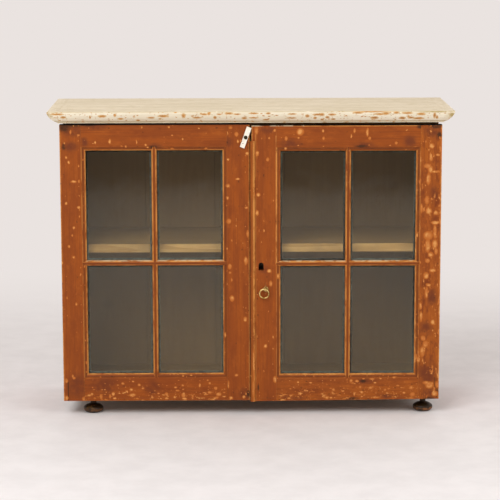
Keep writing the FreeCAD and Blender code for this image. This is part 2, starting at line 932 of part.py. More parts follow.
def make_bolt_plate():
    """Plate with two guides that the bolt slides in."""
    low, high = bolt_plate_span()
    x = left.meeting_edge - bolt_inset
    half = bolt_plate_width / 2
    back = y_door_back + bolt_plate_thickness
    shapes = [block(x - half, x + half, y_door_back, back, low, high)]
    reach = y_door_back + bolt_offset + bolt_radius + bolt_clearance + bolt_guide_wall
    wide = bolt_guide_width / 2
    for start in (low + bolt_guide_inset, high - bolt_guide_inset - bolt_guide_height):
        shapes.append(block(x - wide, x + wide, back, reach, start, start + bolt_guide_height))
    bore = rod(bolt_radius + bolt_clearance, bolt_axis(low), bolt_axis(high))
    return with_holes(joined(shapes).cut(bore), screw, bolt_screw_places())


def make_bolt():
    """Round bolt with a knob between its guides."""
    low, high = bolt_plate_span()
    bar = rod(bolt_radius, bolt_axis(low + bolt_tail), bolt_axis(z_head - bolt_tip_gap))
    root = bolt_axis((low + high) / 2)
    return joined([bar, rod(bolt_knob_radius, root, root.add(V(0, bolt_knob_reach, 0)))])


# Fitting out the doors and writing every piece

def fit_hinges(door, stile):
    """Hinge stile with a recess for each hinge."""
    front = y_door_back - hinge_leaf_thickness
    half = hinge_length / 2
    cuts = []
    for middle in door.hinge_heights:
        cuts.append(leaf_plate(door.side, front, hinge_leaf_thickness, middle))
        axis = hinge_axis(door.side, middle)
        cuts.append(block(door.side * x_case, axis.x, front, y_door_back, middle - half, middle + half))
        cuts.append(hinge_recess(door.side, middle))
    return stile.cut(cuts)


def drill_frame(pieces, places):
    """Screw holes through stiles and through any tenon behind them."""
    for name in ("hinge_stile", "meeting_stile", "top_rail", "bottom_rail"):
        pieces[name] = with_holes(pieces[name], screw, places)


def plane_lower_edge(door, rise, pieces):
    """A long wedge planed off the lower edge, deepest at the hinges."""
    corners = [
        (door.meeting_edge, door.bottom),
        (door.hinge_edge, door.bottom),
        (door.hinge_edge, door.bottom + rise),
    ]
    wedge = outline(corners, lambda x, z: V(x, y_face, z)).extrude(V(0, door_thickness, 0))
    for name in ("hinge_stile", "meeting_stile", "bottom_rail"):
        pieces[name] = pieces[name].cut(wedge)


def save_door(door, pieces):
    """Frame, glass, beads and hinge leaves of one door."""
    for name in ("hinge_stile", "meeting_stile", "top_rail", "bottom_rail", "upright_bar"):
        save(door.name + "_" + name, pieces[name])
    save(door.name + "_cross_bars", pieces["inner_cross_bar"], pieces["outer_cross_bar"])
    beads = []
    for field in pane_fields(door):
        save(door.name + "_" + field[0] + "_pane", make_pane(field))
        beads += make_glazing_beads(field)
    save(door.name + "_glazing_beads", *beads)
    places = hinge_screw_places(door, y_door_back, -Y_AXIS)
    leaves = []
    for middle in door.hinge_heights:
        leaf = make_hinge_leaf(door.side, middle, y_door_back - hinge_leaf_thickness, (1,))
        leaves.append(with_holes(leaf, screw, places))
    save(door.name + "_door_hinge_leaves", *leaves)


def save_carcass():
    """Everything that stands still."""
    save("left_side", make_side(-1))
    save("right_side", make_side(1))
    save("bottom_board", make_bottom())
    save("head_rail", make_head_rail())
    front, rear = make_top_planks()
    save("top_front_plank", front)
    save("top_rear_plank", rear)
    save("front_moulding", make_front_moulding())
    save("left_moulding", make_end_moulding(-1))
    save("right_moulding", make_end_moulding(1))
    for i in range(back_board_count):
        save("back_board_" + str(i + 1), make_back_board(i))
    save("shelf", make_shelf())
    save("shelf_cleats", make_cleat(-1), make_cleat(1))
    for name, x, y in foot_places():
        save(name, make_foot(x, y))
    save("carcass_nails", *[nail(point, way) for point, way in top_nails + back_nails])
    leaves = []
    pins = []
    for door in (left, right):
        for middle in door.hinge_heights:
            leaf = make_hinge_leaf(door.side, middle, y_case, (0, 2))
            leaves.append(with_holes(leaf, screw, frame_screw_places))
            pins.append(make_hinge_pin(door.side, middle))
    save("frame_hinge_leaves", *leaves)
    save("hinge_pins", *pins)
    save("frame_hinge_screws", *[screw(point, way) for point, way in frame_screw_places])


def save_left_door():
    """The left door with its turn button and inner bolt."""
    pieces = make_frame(left)
    places = hinge_screw_places(left, y_door_back, -Y_AXIS) + bolt_screw_places()
    pieces["hinge_stile"] = fit_hinges(left, pieces["hinge_stile"])
    for name in ("meeting_stile", "top_rail"):
        pieces[name] = pieces[name].cut(make_button_screw(fastener_clearance))
    drill_frame(pieces, places)
    save_door(left, pieces)
    save("left_door_screws", *[screw(point, way) for point, way in places])
    save("turn_button", make_button())
    save("turn_button_screw", make_button_screw())
    save("inner_bolt_plate", make_bolt_plate())
    save("inner_bolt", make_bolt())


def save_right_door():
    """The right door with its meeting bead, lock and ring pull."""
    pieces = make_frame(right)
    places = hinge_screw_places(right, y_door_back, -Y_AXIS) + lock_screw_places()
    pieces["hinge_stile"] = fit_hinges(right, pieces["hinge_stile"])
    shank = rod(pull_shank_radius + pull_shank_clearance, pull_point(y_face), pull_point(y_door_back))
    pieces["meeting_stile"] = pieces["meeting_stile"].cut([keyhole(y_face, y_door_back), shank])
    drill_frame(pieces, places)
    plane_lower_edge(right, right_door_rise, pieces)
    save_door(right, pieces)
    save("right_door_screws", *[screw(point, way) for point, way in places])
    save("meeting_bead", make_meeting_bead())
    save("lock_case", make_lock_case())
    save("lock_bolt", lock_bolt_box(0.0))
    save("pull_post", make_pull_post())
    save("pull_nut", make_pull_nut())
    save("pull_ring", make_ring())


os.makedirs("parts", exist_ok=True)
save_carcass()
save_left_door()
save_right_door()
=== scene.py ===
# %% [markdown]
# # A painted cupboard with two glazed doors
# The real thing is a low pine cupboard, painted rust brown with a cream top, and worn through in many
# places. Its solid model gives every board, pane and hinge a place and a body that it moves with. This
# lesson dresses that model: it rounds the arrises, turns the feet, slots the screws and mixes the paints.
# All lengths are in metres, X runs to the right, Y to the back and Z up.

# %% Load the frame
import json
import math
import bmesh
import bpy
from mathutils import Matrix, Vector, noise

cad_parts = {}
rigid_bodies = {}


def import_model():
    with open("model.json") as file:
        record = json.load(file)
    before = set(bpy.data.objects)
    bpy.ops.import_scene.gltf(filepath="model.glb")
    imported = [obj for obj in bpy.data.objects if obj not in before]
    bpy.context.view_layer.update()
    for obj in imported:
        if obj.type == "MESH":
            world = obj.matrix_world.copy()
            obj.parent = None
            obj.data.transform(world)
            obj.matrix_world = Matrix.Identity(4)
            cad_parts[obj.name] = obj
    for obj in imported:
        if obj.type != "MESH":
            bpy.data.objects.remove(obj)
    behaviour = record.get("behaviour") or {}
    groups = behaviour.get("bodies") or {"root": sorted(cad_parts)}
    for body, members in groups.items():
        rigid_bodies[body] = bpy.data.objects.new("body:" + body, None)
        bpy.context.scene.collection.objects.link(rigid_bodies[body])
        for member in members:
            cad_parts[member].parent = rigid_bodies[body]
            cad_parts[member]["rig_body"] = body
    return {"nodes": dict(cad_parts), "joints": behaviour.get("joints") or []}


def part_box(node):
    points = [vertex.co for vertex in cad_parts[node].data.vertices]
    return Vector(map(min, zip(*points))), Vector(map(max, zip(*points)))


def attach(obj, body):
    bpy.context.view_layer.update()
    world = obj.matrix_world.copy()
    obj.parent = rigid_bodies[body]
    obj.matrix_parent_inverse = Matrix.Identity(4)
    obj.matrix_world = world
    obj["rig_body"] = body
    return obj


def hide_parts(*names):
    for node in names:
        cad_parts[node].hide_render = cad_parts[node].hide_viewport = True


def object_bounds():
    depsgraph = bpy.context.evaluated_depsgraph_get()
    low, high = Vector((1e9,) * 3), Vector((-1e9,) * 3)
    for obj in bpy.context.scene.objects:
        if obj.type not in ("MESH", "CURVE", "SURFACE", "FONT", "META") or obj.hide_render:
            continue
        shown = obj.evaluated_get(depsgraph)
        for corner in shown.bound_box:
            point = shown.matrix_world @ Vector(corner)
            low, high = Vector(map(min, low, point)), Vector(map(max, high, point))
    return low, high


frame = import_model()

cad_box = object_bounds()
nodes = frame["nodes"]
scene = bpy.context.scene

# %% [markdown]
# ## The camera
# The photograph was taken from about six metres away with a long lens, a little above the cupboard and
# tipped down by some ten degrees. A far camera with a long lens keeps the uprights parallel, so it is
# given here by its place, three angles and its lens, and not by a target that it would have to track.

# %% Camera
camera_place = (-0.06764, -5.85385, 1.44372)
heading = 0.0113
dip = 0.1677
roll = -0.0021
ahead = Vector((math.sin(heading) * math.cos(dip), math.cos(heading) * math.cos(dip), -math.sin(dip)))
level = Vector((math.cos(heading), -math.sin(heading), 0.0))
across = level * math.cos(roll) + level.cross(ahead) * math.sin(roll)
upward = across.cross(ahead)
view = bpy.data.cameras.new("photo_view")
view.lens = 145.88
view.sensor_width = 36.0
view.clip_end = 60.0
camera = bpy.data.objects.new("photo_view", view)
facing = Matrix((across, upward, -ahead)).transposed().to_4x4()
camera.matrix_world = Matrix.Translation(camera_place) @ facing
scene.collection.objects.link(camera)
scene.camera = camera
print("camera:", round(view.lens), "mm lens, dipped", round(math.degrees(dip), 1), "degrees")

# %% [markdown]
# ## Colours
# Colours are easiest to read off a picture as three numbers up to 255, but shaders work with linear
# light, so one helper turns the first into the second. A set of colours that belong to one finish is kept
# as a palette.

# %% Colours
def tint(red, green, blue):
    """Linear colour from the three numbers that a colour picker shows."""
    parts = [c / 255 for c in (red, green, blue)]
    return tuple(c / 12.92 if c < 0.04 else ((c + 0.055) / 1.055) ** 2.4 for c in parts) + (1.0,)


def palette(**tones):
    """Linear colours of one finish, by name."""
    return {name: tint(*tone) for name, tone in tones.items()}


print("door brown in linear light:", [round(c, 3) for c in tint(149, 76, 31)])

# %% [markdown]
# ## Materials as recipes
# A material is a tree of nodes, and wiring it by hand takes many lines. One helper adds a node, fills or
# links its inputs and hands back an output, and small ones for the usual steps are built on it. With them
# a material reads like a recipe, one step to a line.

# %% Steps of a recipe
def add(tree, kind, inputs=(), out=0, **settings):
    """Makes a node, fills or links its inputs by name or number, and gives back one of its outputs."""
    made = tree.nodes.new(kind)
    for key, value in settings.items():
        setattr(made, key, value)
    for key, value in dict(inputs).items():
        if isinstance(value, bpy.types.NodeSocket):
            tree.links.new(value, made.inputs[key])
        else:
            made.inputs[key].default_value = value
    return made.outputs[out]


def calc(tree, operation, *values):
    """One step of arithmetic on numbers."""
    return add(tree, "ShaderNodeMath", enumerate(values), operation=operation)


def steer(tree, operation, *values):
    """One step of arithmetic on vectors."""
    return add(tree, "ShaderNodeVectorMath", enumerate(values), operation=operation)


def fade(tree, value, start, end):
    """Smooth rise from 0 at the start value to 1 at the end value."""
    inputs = {"Value": value, "From Min": start, "From Max": end}
    return add(tree, "ShaderNodeMapRange", inputs, interpolation_type="SMOOTHSTEP")


def blend(tree, share, below, above):
    """Mixes two colours; a share of 1 shows only the second."""
    return add(tree, "ShaderNodeMix", {0: share, 6: below, 7: above}, out=2, data_type="RGBA")


def cloud(tree, place, scale, detail=3.0, roughness=0.55, out=0):
    """Noise at a place; a scale of 100 gives blotches of about a centimetre."""
    inputs = {"Vector": place, "Scale": scale, "Detail": detail, "Roughness": roughness}
    return add(tree, "ShaderNodeTexNoise", inputs, out=out)


def split(tree, vector):
    """The three parts of a vector, as a list of outputs."""
    parts = tree.nodes.new("ShaderNodeSeparateXYZ")
    tree.links.new(vector, parts.inputs[0])
    return parts.outputs


def length(tree, vector):
    """Length of a vector."""
    return add(tree, "ShaderNodeVectorMath", {0: vector}, out="Value", operation="LENGTH")


def stretched(tree, place, grain, by):
    """The place squeezed along one axis, so that patterns on it come out long that way."""
    scale = [1.0, 1.0, 1.0]
    scale[grain] = by
    return steer(tree, "MULTIPLY", place, tuple(scale))


print("recipe steps: numbers, vectors, colours and noise")


# %% Start and end of a material
def new_material(name):
    """Empty node material and its tree."""
    material = bpy.data.materials.new(name)
    material.use_nodes = True
    material.node_tree.nodes.clear()
    return material, material.node_tree


def add_output(tree, shader):
    """Links a shader to the material's output."""
    out = tree.nodes.new("ShaderNodeOutputMaterial")
    tree.links.new(shader, out.inputs["Surface"])


def coat(tree, **inputs):
    """Ends a tree in one Principled shader; underscores in the names stand for spaces."""
    named = {key.replace("_", " "): value for key, value in inputs.items()}
    add_output(tree, add(tree, "ShaderNodeBsdfPrincipled", named))


def relief(tree, height, depth):
    """Normals for a surface whose height runs from 0 to 1 over some depth."""
    return add(tree, "ShaderNodeBump", {"Height": height, "Distance": depth, "Strength": 1.0})


print("materials: start, end, coat and relief")

# %% [markdown]
# ## Floor and light
# A plain pale floor and soft light from all round keep the attention on the paint. One big panel hangs
# at the front left, above head height, and a weaker one at the front right, so that the mouldings get a
# light upper side and a soft shadow below, and the floor throws light back up under them. The world is
# brighter behind the cupboard than in front of it, and its front half gives the glass something to mirror.
# Behind the cupboard and at its rim the floor glows in the tone of the world there instead of being lit, so
# no edge shows.
# The colours of old paint are known as plain screen colours, so the view shows them as they are.

# %% Floor
floor_radius = 5.6
rim_start = 4.5
rim_end = floor_radius - 0.05
haze_start = 0.35
haze_end = 2.2


def room_tone(tree, toward_back):
    """Tone of the room for a direction, from -1 at the front to 1 at the back."""
    return blend(tree, fade(tree, toward_back, -0.6, 0.5), tint(164, 154, 144), tint(234, 227, 224))


def make_floor(radius, sides):
    """Round floor centred under the cupboard."""
    disc = bmesh.new()
    bmesh.ops.create_circle(disc, segments=sides, radius=radius, cap_ends=True)
    mesh = bpy.data.meshes.new("floor")
    disc.to_mesh(mesh)
    disc.free()
    return mesh


floor_paint, tree = new_material("floor_paint")
spot = add(tree, "ShaderNodeTexCoord", out="Object")
scuff = cloud(tree, spot, 9.0, 6.0, 0.65)
tone = blend(tree, fade(tree, scuff, 0.3, 0.7), tint(233, 231, 232), tint(241, 239, 240))
painted = add(tree, "ShaderNodeBsdfPrincipled", {"Base Color": tone, "Roughness": 0.7})
backward = split(tree, steer(tree, "NORMALIZE", spot))[1]
# Where the floor turns into the world it glows as a backdrop, which also gives a little light.
glow = add(tree, "ShaderNodeEmission", {"Color": room_tone(tree, backward)})
reach = length(tree, spot)
behind = fade(tree, calc(tree, "MULTIPLY", reach, backward), haze_start, haze_end)
share = calc(tree, "MAXIMUM", behind, fade(tree, reach, rim_start, rim_end))
add_output(tree, add(tree, "ShaderNodeMixShader", {0: share, 1: painted, 2: glow}))
floor = bpy.data.objects.new("floor", make_floor(floor_radius, 160))
floor.data.materials.append(floor_paint)
scene.collection.objects.link(floor)
print("floor:", 2 * floor_radius, "m wide")


# %% Panels and world
def hang_panel(name, power, size, place, target):
    """Square lamp panel that faces a point."""
    lamp = bpy.data.lights.new(name, "AREA")
    lamp.energy = power
    lamp.size = size
    panel = bpy.data.objects.new(name, lamp)
    panel.location = place
    panel.rotation_euler = (Vector(target) - Vector(place)).to_track_quat("-Z", "Y").to_euler()
    scene.collection.objects.link(panel)


aim = (0.0, 0.0, 0.4)
hang_panel("front_panel", 118.0, 2.6, (-1.7, -3.3, 3.4), aim)
hang_panel("side_panel", 52.0, 2.2, (3.0, -2.8, 2.4), aim)
world = bpy.data.worlds.new("studio")
world.use_nodes = True
tree = world.node_tree
tree.nodes.clear()
backward = split(tree, add(tree, "ShaderNodeTexCoord", out="Generated"))[1]
sky = add(tree, "ShaderNodeBackground", {"Color": room_tone(tree, backward), "Strength": 1.0})
tree.links.new(sky, tree.nodes.new("ShaderNodeOutputWorld").inputs["Surface"])
scene.world = world
scene.view_settings.view_transform = "Standard"
print("light:", len(bpy.data.lights), "panels and a world")

# %% [markdown]
# ## Boards with worn arrises
# The solid model has knife-sharp edges, which old wood never has. Each board is therefore a copy of its
# node: the loose triangles are welded, the flat ones are merged into whole faces, and every arris is
# rounded over. A Bevel modifier could do it live, but here the rounded strips are also marked in a face
# attribute called arris, so that the paint can wear off just there. Weighted normals keep big faces flat.

# %% Worn copies
weld_gap = 2e-6
flat_angle = math.radians(0.4)
sharp_angle = math.radians(38)
crease_angle = math.radians(45)


def weld(node):
    """A node's loose triangles as one welded mesh."""
    shell = bmesh.new()
    shell.from_mesh(nodes[node].data)
    bmesh.ops.remove_doubles(shell, verts=shell.verts[:], dist=weld_gap)
    return shell


def round_over(shell, arris, shortest, steps):
    """Rounds the sharp edges of a welded mesh and marks the new strips."""
    mark = shell.faces.layers.float.new("arris")
    sharp = []
    for edge in shell.edges:
        if len(edge.link_faces) == 2 and edge.calc_length() > shortest:
            if edge.calc_face_angle() > sharp_angle:
                sharp.append(edge)
    made = bmesh.ops.bevel(
        shell, geom=sharp, offset=arris, segments=steps, profile=0.5, affect="EDGES", clamp_overlap=False
    )
    for face in made["faces"]:
        face[mark] = 1.0


print("arrises: rounded where faces meet at more than", round(math.degrees(sharp_angle)), "degrees")


# %% Copies in place of their nodes
def plain_mesh(holder):
    """The mesh of an object with its modifiers applied."""
    return bpy.data.meshes.new_from_object(holder.evaluated_get(bpy.context.evaluated_depsgraph_get()))


def smooth_mesh(shell, name):
    """Plain mesh out of an edited one, smooth except at creases, with big faces shaded flat."""
    bmesh.ops.dissolve_degenerate(shell, dist=weld_gap / 2, edges=shell.edges[:])
    for face in shell.faces:
        face.smooth = True
    mesh = bpy.data.meshes.new(name)
    shell.to_mesh(mesh)
    shell.free()
    if "custom_normal" in mesh.attributes:
        mesh.attributes.remove(mesh.attributes["custom_normal"])
    mesh.materials.clear()
    mesh.set_sharp_from_angle(angle=crease_angle)
    holder = bpy.data.objects.new(name, mesh)
    scene.collection.objects.link(holder)
    holder.modifiers.new("flat", "WEIGHTED_NORMAL").keep_sharp = True
    finished = plain_mesh(holder)
    bpy.data.objects.remove(holder)
    return finished


def settle(mesh, name, material, slot, *stands_for):
    """Puts a finished mesh in place of some nodes, on the body that they ride on."""
    mesh.name = name
    mesh.materials.clear()
    mesh.materials.append(material)
    piece = bpy.data.objects.new(name, mesh)
    scene.collection.objects.link(piece)
    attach(piece, nodes[stands_for[0]]["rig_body"])
    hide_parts(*stands_for)


def worn_board(node, material, slot, arris=0.0009, shortest=0.004, steps=2):
    """Copy of a node with its arrises rounded over, standing in for it."""
    shell = weld(node)
    bmesh.ops.dissolve_limit(shell, angle_limit=flat_angle, verts=shell.verts[:], edges=shell.edges[:])
    round_over(shell, arris, shortest, steps)
    settle(smooth_mesh(shell, node), "worn_" + node, material, slot, node)


print("worn copies: ready for", len(nodes), "nodes")

# %% [markdown]
# ## Chipped paint
# Where the paint has come off, a thin orange rim of an older coat shows round a core of bare pine. The
# chips are of three kinds: ragged patches along the grain, round speckles, and the larger ones that are
# listed one by one, each as an oval with a middle and a size in millimetres. Every kind is measured in the
# same way, as a number that falls below 1 inside a chip, so the least of the three decides. Noise makes
# the edges ragged, and the ovals only say where a chip sits.

# %% Fields of chips
no_chip = 9.0


def nearest_oval(tree, place, ovals, size=1.0):
    """How far a point lies from the nearest oval, counted in that oval's own half-sizes."""
    least = None
    for x, z, wide, high in ovals:
        offset = steer(tree, "SUBTRACT", place, (x / 1000, 0.0, z / 1000))
        scaled = steer(tree, "MULTIPLY", offset, (2000 / wide / size, 0.0, 2000 / high / size))
        reach = length(tree, scaled)
        least = reach if least is None else calc(tree, "MINIMUM", least, reach)
    return least


def speckles(tree, flat, spacing, share):
    """Round chips on a flat pattern; share is how many of the cells hold one."""
    cell = tree.nodes.new("ShaderNodeTexVoronoi")
    cell.voronoi_dimensions = "2D"
    cell.inputs["Scale"].default_value = 1 / spacing
    tree.links.new(flat, cell.inputs["Vector"])
    luck = tree.nodes.new("ShaderNodeSeparateColor")
    tree.links.new(cell.outputs["Color"], luck.inputs["Color"])
    radius = calc(tree, "MULTIPLY_ADD", luck.outputs["Green"], 0.18, 0.07)
    reach = calc(tree, "DIVIDE", cell.outputs["Distance"], radius)
    missing = calc(tree, "GREATER_THAN", luck.outputs["Red"], share)
    return calc(tree, "MULTIPLY_ADD", missing, no_chip, reach)


def near_lines(tree, parts, lines):
    """Rises to a strength on straight lines, whose axis, place, reach, strength and maybe ends are given."""
    most = None
    for axis, place, reach, strength, *ends in lines:
        away = calc(tree, "ABSOLUTE", calc(tree, "SUBTRACT", parts[axis], place / 1000))
        inputs = {"Value": away, "From Min": reach / 1000, "From Max": reach / 4000, "To Max": strength}
        near = add(tree, "ShaderNodeMapRange", inputs, interpolation_type="SMOOTHSTEP")
        if ends:
            run = parts[2 - axis]
            middle = sum(ends) / 2000
            half_run = (ends[1] - ends[0]) / 2000
            beyond = calc(tree, "ABSOLUTE", calc(tree, "SUBTRACT", run, middle))
            near = calc(tree, "MULTIPLY", near, calc(tree, "LESS_THAN", beyond, half_run))
        most = near if most is None else calc(tree, "MAXIMUM", most, near)
    return most


def ragged_place(tree, spot, amount):
    """The place with a small ragged shift, which roughens the edge of every pattern on it."""
    jitter = steer(tree, "SUBTRACT", cloud(tree, spot, 140.0, 5.0, 0.75, out="Color"), (0.5, 0.5, 0.5))
    shift = add(tree, "ShaderNodeVectorMath", {0: jitter, "Scale": amount}, operation="SCALE")
    return steer(tree, "ADD", spot, shift)


print("fields: ovals, speckles and lines")

# %% [markdown]
# ## Old paint
# One recipe mixes every painted finish, because they were all brushed on and wore in the same way. A table
# first lists what can differ from board to board, with the values of paint that has hardly worn. Ovals and
# lines are given in millimetres. The layers of a board share a few noises, some of them stretched along
# the grain, so that brush marks, blotches and flakes all run the same way.

# %% Sound paint
sound_paint = {
    # Some of the dark ovals and dark lines are painted shade as well as stains and dirt.
    "chips": (), "stains": (), "shades": (),  # ovals that are listed one by one
    "lines": (), "busy": (), "grooves": (), "chalk_and_highlight": (),  # lines that are rubbed, knocked, dark with dirt and painted shade, pale with chalk and painted highlight
    "size": 0.8,  # how large the listed chips come out
    "patches": 0.0, "patch_scale": 95.0,  # amount and scale of the ragged patches
    "dots": 0.0, "specks": 0.0, "pits": 0.03,  # shares of large and small speckles and of dark pits
    "blotches": 0.35, "edges": 0.75, "ragged_by": 0.008,  # blotches, rubbed arrises, ragged shift
    "chart": ((1, 0.37, 0), (0, 0.41, 1)),  # lays the flat patterns on the face that shows
    "sheltered": 1.0,  # depth in Y behind which little knocks the paint
    "bare_within": 0.0,  # distance from the middle within which the wood was never painted
    # The dark top edge is painted shade under the overhanging top, with some dirt.
    "top_coat": None, "sooty_top": None,  # height and palette of a second paint on top, height of a dark edge
}


def lay_out(tree, grain, wear):
    """Places and noises that all the layers of one board share, by name."""
    spot = add(tree, "ShaderNodeTexCoord", out="Object")
    along, streak, brush = (stretched(tree, spot, grain, by) for by in (0.42, 0.12, 0.03))
    ragged = ragged_place(tree, spot, wear["ragged_by"])
    u, v = (
        add(tree, "ShaderNodeVectorMath", {0: ragged, 1: way}, out="Value", operation="DOT_PRODUCT")
        for way in wear["chart"]
    )
    plane = add(tree, "ShaderNodeCombineXYZ", {0: u, 1: v})
    elsewhere = steer(tree, "ADD", along, (0.7, 0.3, 0.9))
    return {
        "parts": split(tree, spot),
        "along": along,
        "ragged": ragged,
        "flat": steer(tree, "MULTIPLY", plane, (1.3, 0.72, 0) if grain == 2 else (0.72, 1.3, 0)),
        "drift": fade(tree, cloud(tree, streak, 24.0, 4.0, 0.6), 0.36, 0.64),
        "mottle": cloud(tree, spot, 38.0, 5.0, 0.7),
        "blotch": fade(tree, cloud(tree, along, 58.0, 6.0, 0.7), 0.47, 0.66),
        "stroke": cloud(tree, brush, 260.0, 2.0),
        "warm": fade(tree, cloud(tree, elsewhere, 64.0, 6.0, 0.72), 0.5, 0.68),
        "age": fade(tree, cloud(tree, spot, 55.0, 2.0), 0.38, 0.6),
    }


print("sound paint:", len(sound_paint), "values that wear can change")

# %% [markdown]
# Rubbed lines follow the arrises and the edges of the mouldings, and round them the paint is knocked off
# more easily. All kinds of chips then make one field. On the side of a board that is sheltered, the
# patches and speckles are rarer and none of the listed chips is used.

# %% Where paint comes off
dot_spacing = 0.017
speck_spacing = 0.0085


def rubbed_places(tree, parts, wear):
    """How much a point is rubbed, and how much it is knocked."""
    arris = add(tree, "ShaderNodeAttribute", out="Fac", attribute_name="arris")
    worn = calc(tree, "MULTIPLY", arris, wear["edges"])
    if wear["lines"]:
        worn = calc(tree, "MAXIMUM", near_lines(tree, parts, wear["lines"]), worn)
    knocked = worn
    if wear["busy"]:
        knocked = calc(tree, "MAXIMUM", near_lines(tree, parts, wear["busy"]), worn)
    return worn, knocked


def chip_field(tree, board, knocked, wear):
    """A number that falls below 1 inside a chip of any kind."""
    grainy = cloud(tree, board["along"], wear["patch_scale"], 6.0, 0.66)
    limit = calc(tree, "MULTIPLY_ADD", knocked, -0.13, 0.80 - 0.2 * wear["patches"])
    field = calc(tree, "MULTIPLY_ADD", calc(tree, "SUBTRACT", limit, grainy), 14.0, 1.0)
    for share, more, spacing in ((wear["dots"], 0.25, dot_spacing), (wear["specks"], 0.3, speck_spacing)):
        if share:
            likely = calc(tree, "MULTIPLY_ADD", knocked, more, share)
            field = calc(tree, "MINIMUM", field, speckles(tree, board["flat"], spacing, likely))
    depth = wear["sheltered"]
    inner_side = fade(tree, board["parts"][1], depth - 0.002, depth + 0.002)
    field = calc(tree, "MULTIPLY_ADD", inner_side, 0.45, field)
    if wear["chips"]:
        flakes = nearest_oval(tree, board["ragged"], wear["chips"], wear["size"])
        field = calc(tree, "MINIMUM", field, calc(tree, "MULTIPLY_ADD", inner_side, no_chip, flakes))
    return field


print("chips: speckles", dot_spacing, "and", speck_spacing, "m apart")

# %% [markdown]
# The paint itself is two close tones that drift over the board, with warm and dark blotches and brush
# marks along the grain. Over it lie soft shades, the rubbed lines, dark lines of dirt and painted shade,
# dark stains where the list says, some of them painted shade, and small pits that hold dirt.

# %% Layers of paint
pit_spacing = 0.0115


def brushed(tree, board, tones, amount):
    """Two drifting tones with warm and dark blotches and brush marks."""
    layer = blend(tree, board["drift"], tones["deep"], tones["main"])
    for kind in ("warm", "blotch"):
        layer = blend(tree, calc(tree, "MULTIPLY", board[kind], amount), layer, tones[kind])
    marks = calc(tree, "MULTIPLY", fade(tree, board["stroke"], 0.45, 0.75), 0.5)
    return blend(tree, marks, layer, tones["blotch"])


def weathered(tree, board, paint, colours, worn, knocked, wear):
    """Shades, rubbed lines, dark lines and stains of dirt and painted shade, and pits, each over the last."""
    parts, ragged, mottle = (board[key] for key in ("parts", "ragged", "mottle"))
    if wear["shades"]:
        soft = fade(tree, nearest_oval(tree, ragged, wear["shades"]), 1.1, 0.2)
        soft = calc(tree, "MULTIPLY", soft, fade(tree, mottle, 0.25, 0.6))
        paint = blend(tree, soft, paint, colours["shade"])
    uneven = fade(tree, cloud(tree, board["along"], 46.0, 6.0, 0.75), 0.34, 0.56)
    paint = blend(tree, calc(tree, "MULTIPLY", worn, uneven), paint, colours["rubbed"])
    if wear["grooves"]:
        dirt = near_lines(tree, parts, wear["grooves"])
        dirt = calc(tree, "MULTIPLY", dirt, fade(tree, mottle, 0.25, 0.45))
        paint = blend(tree, dirt, paint, colours["stain"])
    if wear["stains"]:
        dark = fade(tree, nearest_oval(tree, ragged, wear["stains"]), 1.2, 0.3)
        dark = calc(tree, "MULTIPLY", dark, fade(tree, mottle, 0.26, 0.5))
        paint = blend(tree, calc(tree, "MULTIPLY", dark, 0.9), paint, colours["stain"])
    likely = calc(tree, "MULTIPLY_ADD", knocked, 0.12, wear["pits"])
    beside_specks = steer(tree, "ADD", board["flat"], (0.31, 0.17, 0))
    pitted = fade(tree, speckles(tree, beside_specks, pit_spacing, likely), 1.05, 0.6)
    return blend(tree, calc(tree, "MULTIPLY", pitted, 0.6), paint, colours["stain"])


print("layers: brushed paint and five kinds of wear")

# %% [markdown]
# Last come the chips, which also sink into the relief and are duller than the paint round them. A top coat
# and a near-black top edge, which is painted shade under the overhanging top with some dirt, are sound,
# so they keep the chips off.

# %% Painted finish
# Near-black painted shade with some dirt, for the top edges of the doors under the overhanging top.
shade_and_dirt_tone = tint(14, 9, 6)
# Pale chalk colour, also used as a painted highlight on some upper edges.
chalk_and_highlight_tone = tint(200, 180, 146)
raw_pale = tint(122, 90, 54)
raw_dark = tint(94, 68, 40)
paint_depth = 0.00035


